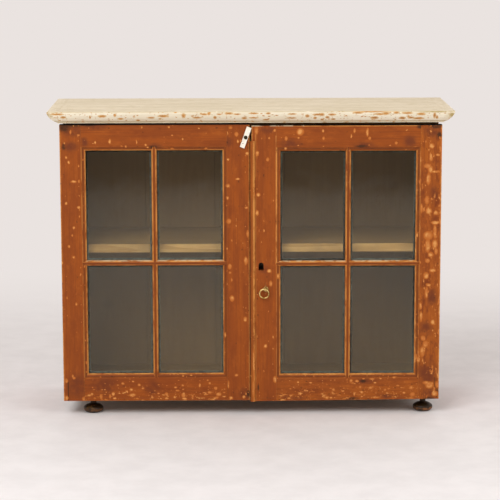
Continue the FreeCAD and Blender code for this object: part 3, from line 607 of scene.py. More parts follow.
def old_paint(name, colours, grain, **changes):
    """Brushed and chipped paint along an axis, 0 for X to 2 for Z; the changes go over sound paint."""
    wear = dict(sound_paint, **changes)
    material, tree = new_material(name)
    board = lay_out(tree, grain, wear)
    parts, mottle, stroke = (board[key] for key in ("parts", "mottle", "stroke"))
    worn, knocked = rubbed_places(tree, parts, wear)
    field = chip_field(tree, board, knocked, wear)
    fresh = brushed(tree, board, colours, wear["blotches"])
    paint = weathered(tree, board, fresh, colours, worn, knocked, wear)
    if wear["top_coat"]:
        top, tones = wear["top_coat"]
        upper = fade(tree, parts[2], top - 0.0006, top - 0.0002)
        field = calc(tree, "MULTIPLY_ADD", upper, no_chip, field)
        paint = blend(tree, upper, paint, brushed(tree, board, tones, 0.8))
    # Painted shade: the top edge of a door turns near black, as under the overhanging top, with some dirt.
    if wear["sooty_top"]:
        soot = fade(tree, parts[2], wear["sooty_top"] - 0.0022, wear["sooty_top"] - 0.0008)
        field = calc(tree, "MULTIPLY_ADD", soot, no_chip, field)
        paint = blend(tree, soot, paint, shade_and_dirt_tone)
    rim = fade(tree, field, 1.04, 0.82)
    bare = blend(tree, board["age"], colours["core"], colours["older"])
    surface = blend(tree, rim, paint, colours["rim"])
    surface = blend(tree, fade(tree, field, 0.85, 0.3), surface, bare)
    # Pale lines of chalk and filler, which on upper edges are also painted highlight.
    if wear["chalk_and_highlight"]:
        pale = near_lines(tree, parts, wear["chalk_and_highlight"])
        pale = calc(tree, "MULTIPLY", pale, fade(tree, mottle, 0.42, 0.54))
        surface = blend(tree, pale, surface, chalk_and_highlight_tone)
    if wear["bare_within"]:
        edge = wear["bare_within"]
        inner = fade(tree, calc(tree, "ABSOLUTE", parts[0]), edge, edge - 0.001)
        surface = blend(tree, inner, surface, blend(tree, stroke, raw_pale, raw_dark))
    height = calc(tree, "MULTIPLY_ADD", rim, -0.7, calc(tree, "MULTIPLY_ADD", stroke, 0.22, 0.7))
    gloss = calc(tree, "MULTIPLY_ADD", rim, 0.2, calc(tree, "MULTIPLY_ADD", mottle, 0.2, 0.42))
    bumps = relief(tree, height, paint_depth)
    coat(tree, Base_Color=surface, Roughness=gloss, Normal=bumps, Specular_IOR_Level=0.14)
    return material


rust = palette(
    main=(154, 78, 25),
    deep=(138, 68, 25),
    warm=(176, 96, 34),
    blotch=(120, 56, 24),
    shade=(112, 56, 30),
    rubbed=(214, 146, 74),
    rim=(176, 97, 37),
    core=(214, 150, 84),
    older=(190, 114, 54),
    # Dark tone of dirt and stains, also used for painted shade.
    stain=(66, 42, 26),
)
sunned = dict(rust, **palette(main=(162, 86, 28), deep=(146, 75, 28)))
print("rust paint:", len(rust), "colours")

# %% [markdown]
# ## How each board of the doors has worn
# The two doors did not age alike. The right hinge stile has lost large flakes down its whole length, the
# bottom rails are peppered by splashes from the floor, and the left hinge stile has only scattered
# chips. Old damp left dark stains in the outer corners. Round the glass a small moulding is worked on
# every board: its lip and its outer arris are rubbed bright, and the groove between them is darker, with
# dirt and painted shade. The upper edge of the right door has a pale line, partly worn bare and partly a
# painted highlight where it hangs clear of the top. Each board therefore gets its own finish, with the
# lines where hands and cloths have rubbed it.

# %% Wear of the left door
# Distance from the sight edge, reach and strength of the lines along the moulding round a pane
lip = (1.2, 3.0, 1.0)
groove = (7.4, 3.4, 0.45)
outer_arris = (11.5, 2.2, 0.5)


def beside(edge, kind):
    """A line along a sight edge, which has an axis, a place, the side that the board lies on and two ends."""
    axis, sight, away, low, high = edge
    out, reach, strength = kind
    return [(axis, sight + out * away, reach, strength, low, high)]


wear = {}
edge = (0, -468, -1, 110, 777)
wear["left_hinge_stile"] = {
    "grain": 2, "patches": 0.38, "dots": 0.07, "specks": 0.03, "size": 1.05,
    "grooves": beside(edge, groove) + [(0, -527, 2.0, 0.9, 42, 100)],
    "lines": beside(edge, lip) + beside(edge, outer_arris) + [(0, -538.6, 2.2, 0.7)],
    "busy": [(2, 42, 40.0, 0.5), (0, -484, 10.0, 0.4)],
    "chips": [
        (-508, 820, 6, 12), (-486, 811, 9, 6), (-470, 821, 9, 8), (-472, 801, 9, 9), (-502, 679, 18, 8),
        (-522, 748, 8, 10), (-515, 734, 8, 10), (-503, 547, 9, 10), (-508, 525, 6, 9),
        (-524, 617, 8, 10), (-488, 605, 10, 10), (-518, 493, 8, 9), (-505, 462, 9, 8),
        (-510, 110, 10, 9), (-532, 102, 9, 14), (-532, 51, 11, 16), (-481, 49, 14, 12),
    ],
    "stains": [(-526, 832, 44, 30), (-500, 840, 60, 14), (-528, 778, 14, 22)],
    "shades": [(-505, 825, 90, 50), (-510, 780, 60, 40), (-500, 85, 80, 90)],
}
edge = (0, -80.5, 1, 110, 777)
wear["left_meeting_stile"] = {
    "grain": 2, "patches": 0.38, "dots": 0.05, "specks": 0.03, "size": 1.1,
    "grooves": beside(edge, groove),
    "lines": beside(edge, lip) + [(0, -5.9, 2.2, 0.6)],
    "busy": [(2, 42, 40.0, 0.5), (0, -12, 14.0, 0.4), (2, 835, 60.0, 0.4)],
    "chips": [
        (-41, 812, 11, 14), (-37, 792, 7, 11), (-57, 831, 11, 8), (-66, 815, 3, 11), (-38, 685, 14, 7),
        (-65, 741, 8, 7), (-66, 666, 12, 11), (-67, 631, 8, 10), (-11, 758, 11, 10), (-13, 603, 11, 8),
        (-63, 564, 14, 14), (-10, 528, 8, 22), (-15, 450, 11, 25), (-61, 434, 11, 16), (-61, 416, 8, 8),
        (-55, 341, 13, 19), (-17, 280, 11, 16), (-75, 234, 5, 16), (-67, 89, 8, 23), (-43, 116, 10, 8),
        (-59, 49, 13, 9), (-22, 52, 10, 9),
    ],
    "stains": [(-72, 789, 14, 10), (-9, 62, 12, 26)],
    "shades": [(-66, 790, 40, 40), (-20, 60, 50, 50)],
}
edge = (2, 766, 1, -480, -69)
wear["left_top_rail"] = {
    "grain": 0, "patches": 0.3, "dots": 0.05, "specks": 0.03, "size": 1.05,
    "grooves": beside(edge, groove),
    "lines": beside(edge, lip),
    "chips": [
        (-439, 790, 7, 11), (-398, 793, 8, 16), (-323, 791, 5, 14), (-297, 783, 8, 8), (-353, 778, 7, 7),
        (-365, 779, 7, 5), (-292, 776, 8, 5), (-231, 833, 8, 7), (-147, 829, 8, 5), (-222, 810, 7, 5),
        (-192, 799, 5, 8), (-308, 833, 5, 8),
    ],
    "stains": [(-462, 840, 60, 10), (-276, 777, 26, 10)],
    "shades": [(-440, 835, 100, 30), (-470, 790, 30, 40), (-270, 780, 50, 20)],
}
edge = (2, 121, -1, -480, -69)
wear["left_bottom_rail"] = {
    "grain": 0, "patches": 0.45, "dots": 0.1, "specks": 0.16, "size": 0.9, "pits": 0.06, "ragged_by": 0.006,
    "grooves": beside(edge, groove),
    "lines": [(2, 120, 2.0, 1.0, -480, -69), (2, 42, 2.0, 0.4)],
    "busy": [(2, 46, 56.0, 1.0)],
    "chips": [
        (-398, 62, 12, 14), (-433, 54, 10, 20), (-407, 55, 8, 16), (-394, 49, 14, 10), (-370, 93, 12, 8),
        (-340, 99, 10, 6), (-323, 89, 12, 10), (-346, 75, 14, 10), (-358, 69, 8, 10), (-343, 59, 24, 12),
        (-329, 48, 12, 7), (-245, 61, 14, 12), (-245, 49, 14, 8), (-213, 72, 14, 6), (-196, 58, 14, 18),
        (-193, 48, 18, 8), (-198, 87, 8, 8), (-221, 52, 10, 10), (-169, 55, 8, 9), (-149, 87, 8, 16),
        (-120, 93, 8, 10), (-103, 78, 12, 12), (-120, 66, 16, 10), (-94, 60, 20, 14), (-100, 50, 14, 10),
    ],
    "shades": [(-425, 85, 130, 70), (-285, 80, 60, 60)],
}
print("left door:", sum(len(board["chips"]) for board in wear.values()), "chips set out by hand")

# %% Wear of the right door
edge = (0, 468, 1, 107, 774)
wear["right_hinge_stile"] = {
    "grain": 2, "patches": 1.0, "patch_scale": 66.0, "dots": 0.1, "specks": 0.06, "blotches": 0.9,
    "size": 1.45, "pits": 0.1, "ragged_by": 0.009,
    "grooves": beside(edge, groove) + [(0, 528, 2.0, 0.7, 58, 108)],
    "lines": beside(edge, lip) + beside(edge, outer_arris) + [(0, 538.6, 2.4, 0.9)],
    "busy": [(2, 39, 40.0, 0.4)],
    "chips": [
        (511, 777, 12, 11), (529, 752, 10, 6), (509, 743, 8, 13), (500, 720, 15, 11), (508, 710, 12, 16),
        (524, 704, 23, 6), (503, 683, 10, 26), (499, 623, 10, 18), (484, 599, 6, 21), (505, 591, 14, 14),
        (525, 586, 10, 10), (524, 558, 21, 8), (523, 532, 8, 31), (504, 521, 21, 19), (503, 493, 12, 33),
        (523, 496, 13, 21), (511, 466, 12, 12), (527, 475, 8, 15), (503, 448, 10, 11),
        (499, 405, 12, 16), (518, 420, 16, 9), (506, 378, 12, 7), (501, 356, 8, 25), (484, 317, 8, 16),
        (486, 286, 7, 25), (520, 269, 10, 12), (493, 222, 10, 12), (500, 205, 12, 16),
        (491, 183, 10, 25), (480, 160, 8, 16), (513, 84, 18, 16), (502, 91, 13, 8), (536, 86, 9, 16),
        (529, 59, 14, 12),
    ],
    "stains": [(521, 834, 46, 18), (532, 808, 18, 22), (512, 44, 40, 14), (536, 66, 8, 40)],
    "shades": [
        (516, 340, 40, 80), (505, 120, 80, 110), (510, 820, 64, 50), (500, 250, 50, 60), (520, 640, 30, 60),
        (512, 65, 60, 60),
    ],
}
edge = (0, 83.5, -1, 107, 774)
wear["right_meeting_stile"] = {
    "grain": 2, "patches": 0.35, "dots": 0.05, "specks": 0.03, "size": 1.15,
    "grooves": beside(edge, groove),
    "lines": [
        (0, 72, 3.2, 1.0, 440, 808), (0, 72, 2.2, 0.4, 107, 440), (0, 82.3, 2.6, 0.35, 440, 774),
        (0, 82.3, 3.0, 1.0, 107, 440), (0, 2.9, 2.2, 0.7), (0, 13, 2.4, 0.4),
    ],
    "busy": [(2, 39, 40.0, 0.5), (0, 17, 8.0, 0.5)],
    "chalk_and_highlight": [(2, 835.4, 2.4, 0.75)],
    "chips": [
        (17, 757, 12, 16), (47, 740, 8, 10), (21, 640, 11, 11), (17, 588, 11, 16), (15, 822, 11, 20),
        (52, 801, 5, 8), (67, 822, 8, 8), (51, 420, 12, 11), (77, 404, 9, 16), (56, 384, 9, 16),
        (40, 201, 9, 12), (69, 103, 13, 21), (81, 79, 11, 13),
    ],
    "stains": [(20, 80, 6, 26)],
    "shades": [(48, 824, 56, 26), (36, 425, 40, 30), (76, 790, 24, 30)],
}
edge = (2, 763, 1, 72, 480)
wear["right_top_rail"] = {
    "grain": 0, "patches": 0.4, "dots": 0.06, "specks": 0.03, "size": 1.1,
    "grooves": beside(edge, groove),
    "lines": [(2, 764, 2.0, 0.5, 72, 480), (2, 834.6, 1.6, 0.9)],
    "chalk_and_highlight": [(2, 835.4, 2.4, 0.7, 72, 150)],
    "chips": [
        (139, 818, 21, 21), (99, 800, 9, 13), (98, 771, 8, 8), (203, 821, 7, 10), (205, 800, 8, 10),
        (134, 801, 7, 7), (283, 806, 5, 13), (292, 821, 8, 13), (329, 817, 8, 26), (335, 799, 8, 10),
        (410, 786, 8, 8), (380, 836, 13, 6), (343, 836, 13, 5),
    ],
    "stains": [(312, 777, 44, 9), (478, 832, 24, 14)],
    "shades": [(110, 785, 80, 40), (320, 780, 90, 24), (450, 790, 50, 50)],
}
edge = (2, 118, -1, 72, 480)
wear["right_bottom_rail"] = {
    "grain": 0, "patches": 0.62, "dots": 0.16, "specks": 0.24, "size": 0.9, "blotches": 0.6, "pits": 0.1,
    "ragged_by": 0.006,
    "grooves": beside(edge, groove),
    "lines": beside(edge, lip) + [(2, 39, 2.0, 0.4)],
    "busy": [(2, 46, 60.0, 0.8)],
    "chips": [
        (134, 95, 8, 8), (170, 93, 12, 6), (236, 72, 12, 10), (263, 68, 14, 6), (287, 98, 12, 12),
        (304, 97, 14, 10), (296, 59, 6, 16), (313, 80, 10, 10), (318, 64, 12, 10), (343, 77, 16, 10),
        (356, 92, 12, 6), (347, 103, 20, 6), (385, 71, 10, 8), (396, 74, 12, 6), (422, 83, 12, 6),
        (460, 77, 16, 14), (464, 57, 18, 16), (108, 47, 14, 8), (218, 49, 14, 14), (229, 48, 10, 8),
        (359, 49, 24, 6), (411, 107, 14, 7), (141, 61, 7, 11), (440, 62, 12, 8),
    ],
    "stains": [(284, 46, 60, 10), (322, 97, 20, 12)],
    "shades": [(330, 98, 80, 24), (120, 48, 80, 20), (390, 52, 60, 20)],
}
print("both doors:", sum(len(board["chips"]) for board in wear.values()), "chips set out by hand")

# %% [markdown]
# ## Door frames
# Each door is a frame of two stiles and two rails round moulded glazing bars. All of them are worn
# copies of their nodes, so the scribed joints stay where they are and show as fine lines. The bars are
# thin and get handled most, so their edges are rubbed light while the middle keeps its paint. A pale line
# along the top of the cross bars is a smear of old filler and partly a painted highlight on their upper
# chamfer.

# %% Frames and glazing bars
def bar_lines(axis, middle):
    """Bright lines along both edges of a glazing bar and a dirty one along its middle."""
    bright = [(axis, middle - 5.4, 3.0, 0.9), (axis, middle + 5.4, 3.0, 1.0)]
    return {"lines": bright, "grooves": [(axis, middle, 2.6, 0.4)]}


door_tops = {side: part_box(side + "_top_rail")[1].z for side in ("left", "right")}
bars = {
    "left_upright_bar": dict(bar_lines(0, -274.25), grain=2),
    "left_cross_bars": dict(bar_lines(2, 443.5), grain=0, chalk_and_highlight=[(2, 451.5, 3.8, 0.85)]),
    "right_upright_bar": dict(bar_lines(0, 275.75), grain=2),
    "right_cross_bars": dict(bar_lines(2, 440.5), grain=0, chalk_and_highlight=[(2, 448.5, 3.8, 0.85)]),
}
for node, lines in bars.items():
    wear[node] = dict(lines, patches=0.25, specks=0.03)
for node, board in wear.items():
    tones = sunned if node in ("right_hinge_stile", "right_bottom_rail") else rust
    half_way = sum(corner.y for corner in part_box(node)) / 2
    top = door_tops[node.split("_")[0]]
    # Every door board gets the near-black top edge, which is painted shade with some dirt.
    finish = old_paint("paint_" + node, tones, edges=0.12, sooty_top=top, sheltered=half_way, **board)
    worn_board(node, finish, "door_paint")
print("frames:", len(wear), "painted boards")

# %% [markdown]
# ## Glass
# Old sheet glass is slightly wavy, so a slow noise bends its normals. The panes stay plain sheets of the
# solid model. Light from the lamps would be blocked by a shader that bends it, so for shadow rays the
# glass turns into a clear one, and the inside of the cupboard is lit as it would be.

# %% Panes
glass, tree = new_material("old_glass")
spot = add(tree, "ShaderNodeTexCoord", out="Object")
ripple = cloud(tree, spot, 14.0, 1.0)
sheet = add(
    tree,
    "ShaderNodeBsdfPrincipled",
    {
        "Base Color": tint(243, 245, 238),
        "Specular Tint": (1.0, 0.97, 0.86, 1.0),
        "Roughness": 0.0,
        "IOR": 1.43,
        "Transmission Weight": 1.0,
        "Normal": relief(tree, ripple, 0.00025),
    },
)
shadow = add(tree, "ShaderNodeLightPath", out="Is Shadow Ray")
clear = add(tree, "ShaderNodeBsdfTransparent", {"Color": tint(238, 245, 242)})
add_output(tree, add(tree, "ShaderNodeMixShader", {0: shadow, 1: sheet, 2: clear}))
panes = [node for node in nodes if node.endswith("_pane")]
for node in panes:
    nodes[node].data.materials[0] = glass
print("glass:", len(panes), "panes")

# %% [markdown]
# ## Glazing beads
# Behind the glass, strips of putty and bead hold every pane. From the front only their inner edge shows,
# as a thin pale line. Putty is chalky, cracked and greyer in places, so a fine noise breaks up its tone.

# %% Putty
def chalky(name, pale, dark):
    """Dry, slightly cracked filler."""
    material, tree = new_material(name)
    spot = add(tree, "ShaderNodeTexCoord", out="Object")
    grit = cloud(tree, spot, 60.0, 6.0, 0.7)
    fine = cloud(tree, spot, 900.0, 2.0)
    tone = blend(tree, fade(tree, grit, 0.35, 0.65), dark, pale)
    rough = calc(tree, "MULTIPLY_ADD", fine, 0.2, 0.65)
    coat(tree, Base_Color=tone, Roughness=rough, Normal=relief(tree, fine, 0.0004))
    return material


putty = chalky("glazing_putty", tint(132, 134, 124), tint(92, 92, 86))
for side in ("left", "right"):
    worn_board(side + "_glazing_beads", putty, "glazing_beads", arris=0.0005, steps=2)
print("beads: round both doors' panes")

# %% [markdown]
# ## The meeting bead
# A rounded strip covers the gap between the doors. Years of hands have worn it to bright ochre, and its
# left edge is dented. Its paint is darker on the left side as painted shade beside the left door, and
# lighter on the right part, which is rubbed and partly a painted highlight. It is swept here as a section,
# station by station from bottom to top, so that a little noise can take material off the edges. Nothing
# is added, so the strip stays inside its node.

# %% Swept strips
def arc_points(a, b, bulge, count):
    """Points on a shallow arc from a to b that stands out by some amount to the right of the way."""
    run = Vector((b[0] - a[0], b[1] - a[1]))
    out = Vector((run.y, -run.x)).normalized()
    points = []
    for i in range(count + 1):
        t = i / count
        points.append((a[0] + run.x * t + out.x * bulge * 4 * t * (1 - t),
                       a[1] + run.y * t + out.y * bulge * 4 * t * (1 - t)))
    return points


def loft(rings, name):
    """Closed mesh through rings of points, capped at both ends."""
    shell = bmesh.new()
    rows = [[shell.verts.new(point) for point in ring] for ring in rings]
    count = len(rings[0])
    for low, high in zip(rows, rows[1:]):
        for i in range(count):
            k = (i + 1) % count
            shell.faces.new((low[i], low[k], high[k], high[i]))
    shell.faces.new(rows[0][::-1])
    shell.faces.new(rows[-1])
    shell.faces.layers.float.new("arris")
    bmesh.ops.recalc_face_normals(shell, faces=shell.faces[:])
    return smooth_mesh(shell, name)


low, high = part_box("meeting_bead")
width = high.x - low.x
proud = high.y - low.y
flat_edge = 0.003
soft_in = 0.0006
soft_up = 0.0008
dent_depth = 0.0016
nick_depth = 0.0035
stations = 150
section = [(0.0, 0.0), (0.0, flat_edge - soft_up)]
section += arc_points((soft_in, flat_edge), (width - soft_in, flat_edge), -(proud - flat_edge), 12)
section += [(width, flat_edge - soft_up), (width, 0.0)]
rings = []
for k in range(stations + 1):
    z = low.z + (high.z - low.z) * k / stations
    ring = []
    for u, v in section:
        dent = max(0.0, noise.noise((u * 90, 3.7, z * 34))) * dent_depth
        nick = max(0.0, noise.noise((u * 40 + 9, 8.1, z * 110)) - 0.25) * nick_depth
        worn_v = max(0.0, v - (dent + nick) * (v / proud))
        worn_u = u + (dent + nick) * (0.5 - u / width) * (1 if 0 < k < stations else 0)
        ring.append((low.x + worn_u, high.y - worn_v, z))
    rings.append(ring)
ochre = dict(rust, **palette(main=(160, 86, 28), deep=(146, 76, 26)))
# Painted shade: a dark line and two long dark ovals along the left side. The bright line on the right part is
# rubbed wear and partly painted highlight.
bead_paint = old_paint(
    "paint_meeting_bead", ochre, 2, patches=0.3, specks=0.1,
    lines=[(0, 8.0, 4.6, 0.8)], grooves=[(0, -3.6, 4.0, 0.5)],
    chips=[
        (9, 640, 4, 22), (8, 545, 5, 12), (9, 405, 5, 18), (8, 300, 4, 26), (7, 150, 9, 130), (6, 76, 10, 90),
    ],
    stains=[(-4, 600, 3, 500), (-4, 200, 3, 300)],
)
settle(loft(rings, "bead"), "worn_meeting_bead", bead_paint, "bead_paint", "meeting_bead")
print("bead:", stations + 1, "stations of", len(section), "points")

# %% [markdown]
# ## The top
# Two wide planks lie side by side, and a moulding with a swelling curve runs round the front and both
# ends, mitred at the corners. The cream paint is thick and clean on top, with faint strokes from end to
# end. On the moulding it has flaked to tan and orange, most of all right of the middle. The planks are
# worn copies, and the mouldings are lofted so that the front edge can wander a little.

# %% Cream finish
cream = palette(
    main=(235, 222, 196),
    deep=(220, 206, 176),
    warm=(238, 226, 202),
    blotch=(212, 197, 162),
    shade=(206, 188, 148),
    rubbed=(224, 202, 162),
    rim=(222, 192, 146),
    core=(206, 148, 80),
    older=(186, 128, 70),
    stain=(150, 132, 84),
)
top_paint = old_paint(
    "paint_top", cream, 0, patches=0.02, specks=0.012, pits=0.008, blotches=0.8,
    chart=((1, 0, 0.4), (0, 1, 0.4)),
)
whiter = dict(
    cream,
    **palette(main=(246, 239, 218), deep=(238, 228, 203), blotch=(226, 212, 184), stain=(176, 152, 94)),
)
top_height = cad_box[1].z
moulding_chips = [
    (-543, 873, 40, 6), (-526, 864, 16, 8), (-451, 864, 5, 10), (-417, 867, 24, 8), (-381, 870, 8, 10),
    (-366, 859, 18, 6), (-317, 854, 12, 6), (-280, 862, 20, 6), (-246, 867, 30, 8), (-189, 868, 12, 14),
    (-152, 862, 26, 6), (-132, 872, 22, 6), (-118, 874, 10, 9), (-101, 862, 10, 10), (-89, 872, 14, 5),
    (-62, 874, 24, 7), (-39, 872, 20, 5), (-19, 860, 16, 8), (7, 874, 28, 5), (7, 861, 28, 5),
    (48, 874, 14, 7), (42, 855, 18, 5), (115, 872, 24, 5), (113, 860, 28, 5), (158, 866, 12, 10),
    (187, 870, 30, 6), (198, 870, 16, 9), (227, 870, 22, 7), (214, 862, 12, 7), (200, 855, 10, 6),
    (231, 856, 14, 5), (180, 860, 10, 8), (300, 875, 30, 6), (337, 878, 110, 4), (346, 860, 24, 8),
    (360, 871, 32, 6), (378, 873, 20, 10), (407, 875, 16, 8), (425, 859, 20, 8), (438, 874, 32, 6),
    (449, 860, 20, 6), (470, 858, 32, 7), (477, 871, 26, 8), (515, 867, 8, 18), (522, 861, 8, 10),
]
front_paint = old_paint(
    "paint_front_moulding", whiter, 0, patches=0.6, dots=0.2, specks=0.22, pits=0.06, blotches=0.25,
    ragged_by=0.005, size=1.15, top_coat=(top_height, cream), chart=((1, 0, 0), (0, 0, 1.4)),
    chips=moulding_chips,
    busy=[(2, 869, 9.0, 0.5), (0, 320, 230.0, 0.55), (0, -572, 70.0, 0.6)],
    grooves=[(2, 849.5, 4.6, 0.5), (2, 878.6, 2.2, 0.5)],
    stains=[(-574, 872, 24, 10), (520, 877, 110, 5), (566, 868, 20, 16)],
    shades=[(560, 866, 40, 24), (-566, 868, 30, 20)],
)
end_paint = old_paint(
    "paint_end_moulding", whiter, 1, patches=0.55, dots=0.2, specks=0.14, ragged_by=0.005,
    top_coat=(top_height, cream), chart=((0, 1, 0), (0, 0, 1.4)), grooves=[(2, 849.5, 4.6, 0.55)],
)
for node in ("top_front_plank", "top_rear_plank"):
    worn_board(node, top_paint, "top_paint", arris=0.0006)
print("cream finish:", len(moulding_chips), "larger chips on the front moulding, and two planks")

# %% Mouldings
moulding_reach = 0.032
moulding_height = 0.035
swelling = 0.0045
wander_depth = 0.0004


def moulding_section():
    """Reach and height of the points round the moulding, with its arrises softened."""
    points = [(0.0, 0.0), (0.0036, 0.0), (0.004, 0.0004), (0.004, 0.002)]
    points += arc_points((0.004, 0.002), (moulding_reach, 0.031), swelling, 16)[1:]
    points += [(moulding_reach, 0.0336), (0.0316, 0.0346), (0.0308, moulding_height), (0.0, moulding_height)]
    return points


def run_moulding(node, start, end, material, stations):
    """Lofts the section between two corner rules, which give plan positions for a reach."""
    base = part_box(node)[0].z
    rings = []
    for k in range(stations + 1):
        t = k / stations
        ring = []
        for reach, height in moulding_section():
            a = Vector(start(reach))
            b = Vector(end(reach))
            x, y = a.lerp(b, t)
            bump = max(0.0, noise.noise((x * 9, y * 9, height * 60)))
            wander = wander_depth * bump * reach / moulding_reach
            inward = Vector((0.0, 1.0)) if node == "front_moulding" else Vector((-math.copysign(1, x), 0.0))
            if 0 < k < stations:
                x, y = Vector((x, y)) + inward * wander
            ring.append((x, y, base + height))
        rings.append(ring)
    settle(loft(rings, node), "worn_" + node, material, "top_paint", node)


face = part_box("front_moulding")[1].y
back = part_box("left_moulding")[1].y
left_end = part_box("left_moulding")[1].x


def right_corner(reach):
    """Plan position of a mitre point at the front right corner."""
    return (-left_end + reach, face - reach)


def left_corner(reach):
    """Plan position of a mitre point at the front left corner."""
    return (left_end - reach, face - reach)


run_moulding("front_moulding", left_corner, right_corner, front_paint, 90)
run_moulding("left_moulding", lambda reach: (left_end - reach, back), left_corner, end_paint, 30)
run_moulding("right_moulding", right_corner, lambda reach: (-left_end + reach, back), end_paint, 30)
print("mouldings:", len(moulding_section()), "points in the section")

# %% [markdown]
# ## Bare pine
# Inside, the boards were never painted. Pine has wide pale and narrow dark rings that run along the
# board, fine fibres and a knot here and there. The rings come from one stretched noise that is folded
# into bands, which costs less than a wave texture and never looks ruled. The back is the same wood,
# darkened and greyed by age and dust. Past a given depth the boards turn darker still: the shelf behind
# its front edge, the floor and the cleats towards the back, and the back boards on their inner face.

# %% Pine finish
def pine(name, grain, pale, dark, dirt, scale=16.0, stained=None, shift=0.0):
    """Bare softwood along an axis; given two depths in Y, it turns darker between the first and the second.
    """
    material, tree = new_material(name)
    spot = steer(tree, "ADD", add(tree, "ShaderNodeTexCoord", out="Object"), (shift, 0.0, 0.0))
    slow = cloud(tree, stretched(tree, spot, grain, 0.07), scale, 2.0, 0.5)
    fold = calc(tree, "FRACT", calc(tree, "MULTIPLY", slow, 11.0))
    ring = calc(tree, "MULTIPLY", fade(tree, fold, 0.1, 0.85), fade(tree, fold, 1.0, 0.9))
    fibre = cloud(tree, stretched(tree, spot, grain, 0.015), 420.0, 3.0)
    knot = fade(tree, add(tree, "ShaderNodeTexVoronoi", {"Vector": spot, "Scale": 5.5}), 0.11, 0.05)
    grime = fade(tree, cloud(tree, spot, 5.0, 6.0, 0.7), 0.42, 0.72)
    wood = blend(tree, calc(tree, "MULTIPLY", ring, 0.6), pale, dark)
    wood = blend(tree, calc(tree, "MULTIPLY", fade(tree, fibre, 0.45, 0.7), 0.4), wood, dark)
    wood = blend(tree, calc(tree, "MULTIPLY", knot, 0.8), wood, dirt)
    arris = add(tree, "ShaderNodeAttribute", out="Fac", attribute_name="arris")
    wood = blend(tree, calc(tree, "MAXIMUM", calc(tree, "MULTIPLY", grime, 0.55), arris), wood, dirt)
    if stained:
        deep = fade(tree, split(tree, spot)[1], stained[0] / 1000, stained[1] / 1000)
        wood = blend(tree, calc(tree, "MULTIPLY", deep, 0.86), wood, raw_pale)
    rough = calc(tree, "MULTIPLY_ADD", fibre, 0.2, 0.55)
    bumps = relief(tree, fibre, 0.0003)
    coat(tree, Base_Color=wood, Roughness=rough, Normal=bumps, Specular_IOR_Level=0.25)
    return material


pale, dark, dirt = tint(202, 158, 100), tint(166, 118, 62), tint(120, 90, 56)
shelf_pine = pine("pine_shelf", 0, pale, dark, dirt, stained=(-117.6, -116.2))
floor_pine = pine("pine_floor", 0, pale, dark, dirt, stained=(-150.0, -140.0))
cleat_pine = pine("pine_cleats", 1, pale, dark, dirt, stained=(-130.0, -110.0))
worn_board("shelf", shelf_pine, "bare_pine", arris=0.0012)
for node in ("bottom_board", "head_rail"):
    worn_board(node, floor_pine, "bare_pine", arris=0.0012)
worn_board("shelf_cleats", cleat_pine, "bare_pine", arris=0.0015)
back_tones = ((152, 124, 86), (112, 86, 58), (70, 56, 42))
for k, age in enumerate((0.94, 1.06, 0.9, 1.02, 0.97), 1):
    greyed = [tint(*(age * c for c in tone)) for tone in back_tones]
    board_pine = pine("pine_back_" + str(k), 2, *greyed, 11.0, stained=(198.4, 196.6), shift=2.3 * k)
    worn_board("back_board_" + str(k), board_pine, "back_pine", arris=0.0018)
print("pine: shelf, floor, head rail, cleats and five back boards")

# %% [markdown]
# ## Painted sides
# The two sides wear the same rust paint as the doors. They are handled less, so they have fewer and
# smaller chips, mostly low down and along the edges. Inside, the wood stayed bare.

# %% Sides
sides = ("left_side", "right_side")
painted_from = 0.5298
for node in sides:
    finish = old_paint(
        "paint_" + node, rust, 2, patches=0.45, dots=0.1, specks=0.07, edges=0.5, bare_within=painted_from,
        chart=((0.4, 1, 0), (0.4, 0, 1)), lines=[(2, 845, 4.0, 0.5)], busy=[(2, 45, 110.0, 0.8)],
    )
    worn_board(node, finish, "side_paint", arris=0.0014)
print("sides:", len(sides))

# %% [markdown]
# ## Turned feet
# The four bun feet were turned on a lathe, so one half-section says everything about their shape. A
# Geometry Nodes tree spins that section: it bends a flat grid round the axis, reading radius and height
# from the section curve, and sets a copy under each corner with its own turn. A Screw modifier could
# spin it too, but the tree does the copies in the same go and keeps its sizes as named inputs.

# %% Tools for trees
def new_tree(name, inputs):
    """Empty geometry tree with named inputs, its input node and its output node."""
    tree = bpy.data.node_groups.new(name, "GeometryNodeTree")
    tree.interface.new_socket("Geometry", in_out="INPUT", socket_type="NodeSocketGeometry")
    for label, kind in inputs:
        tree.interface.new_socket(label, in_out="INPUT", socket_type="NodeSocket" + kind)
    tree.interface.new_socket("Geometry", in_out="OUTPUT", socket_type="NodeSocketGeometry")
    return tree, tree.nodes.new("NodeGroupInput").outputs, tree.nodes.new("NodeGroupOutput").inputs


def grow(tree, points, values):
    """Runs a tree on a few points and gives back the plain mesh."""
    seeds = bpy.data.meshes.new(tree.name)
    seeds.from_pydata([tuple(p) for p in points], [], [])
    holder = bpy.data.objects.new(tree.name, seeds)
    scene.collection.objects.link(holder)
    modifier = holder.modifiers.new("nodes", "NODES")
    modifier.node_group = tree
    for item in tree.interface.items_tree:
        if item.item_type == "SOCKET" and item.in_out == "INPUT" and item.name in values:
            modifier[item.identifier] = values[item.name]
    mesh = plain_mesh(holder)
    holder.modifiers.remove(modifier)
    bpy.data.objects.remove(holder)
    shell = bmesh.new()
    shell.from_mesh(mesh)
    bmesh.ops.recalc_face_normals(shell, faces=shell.faces[:])
    shell.to_mesh(mesh)
    shell.free()
    return mesh


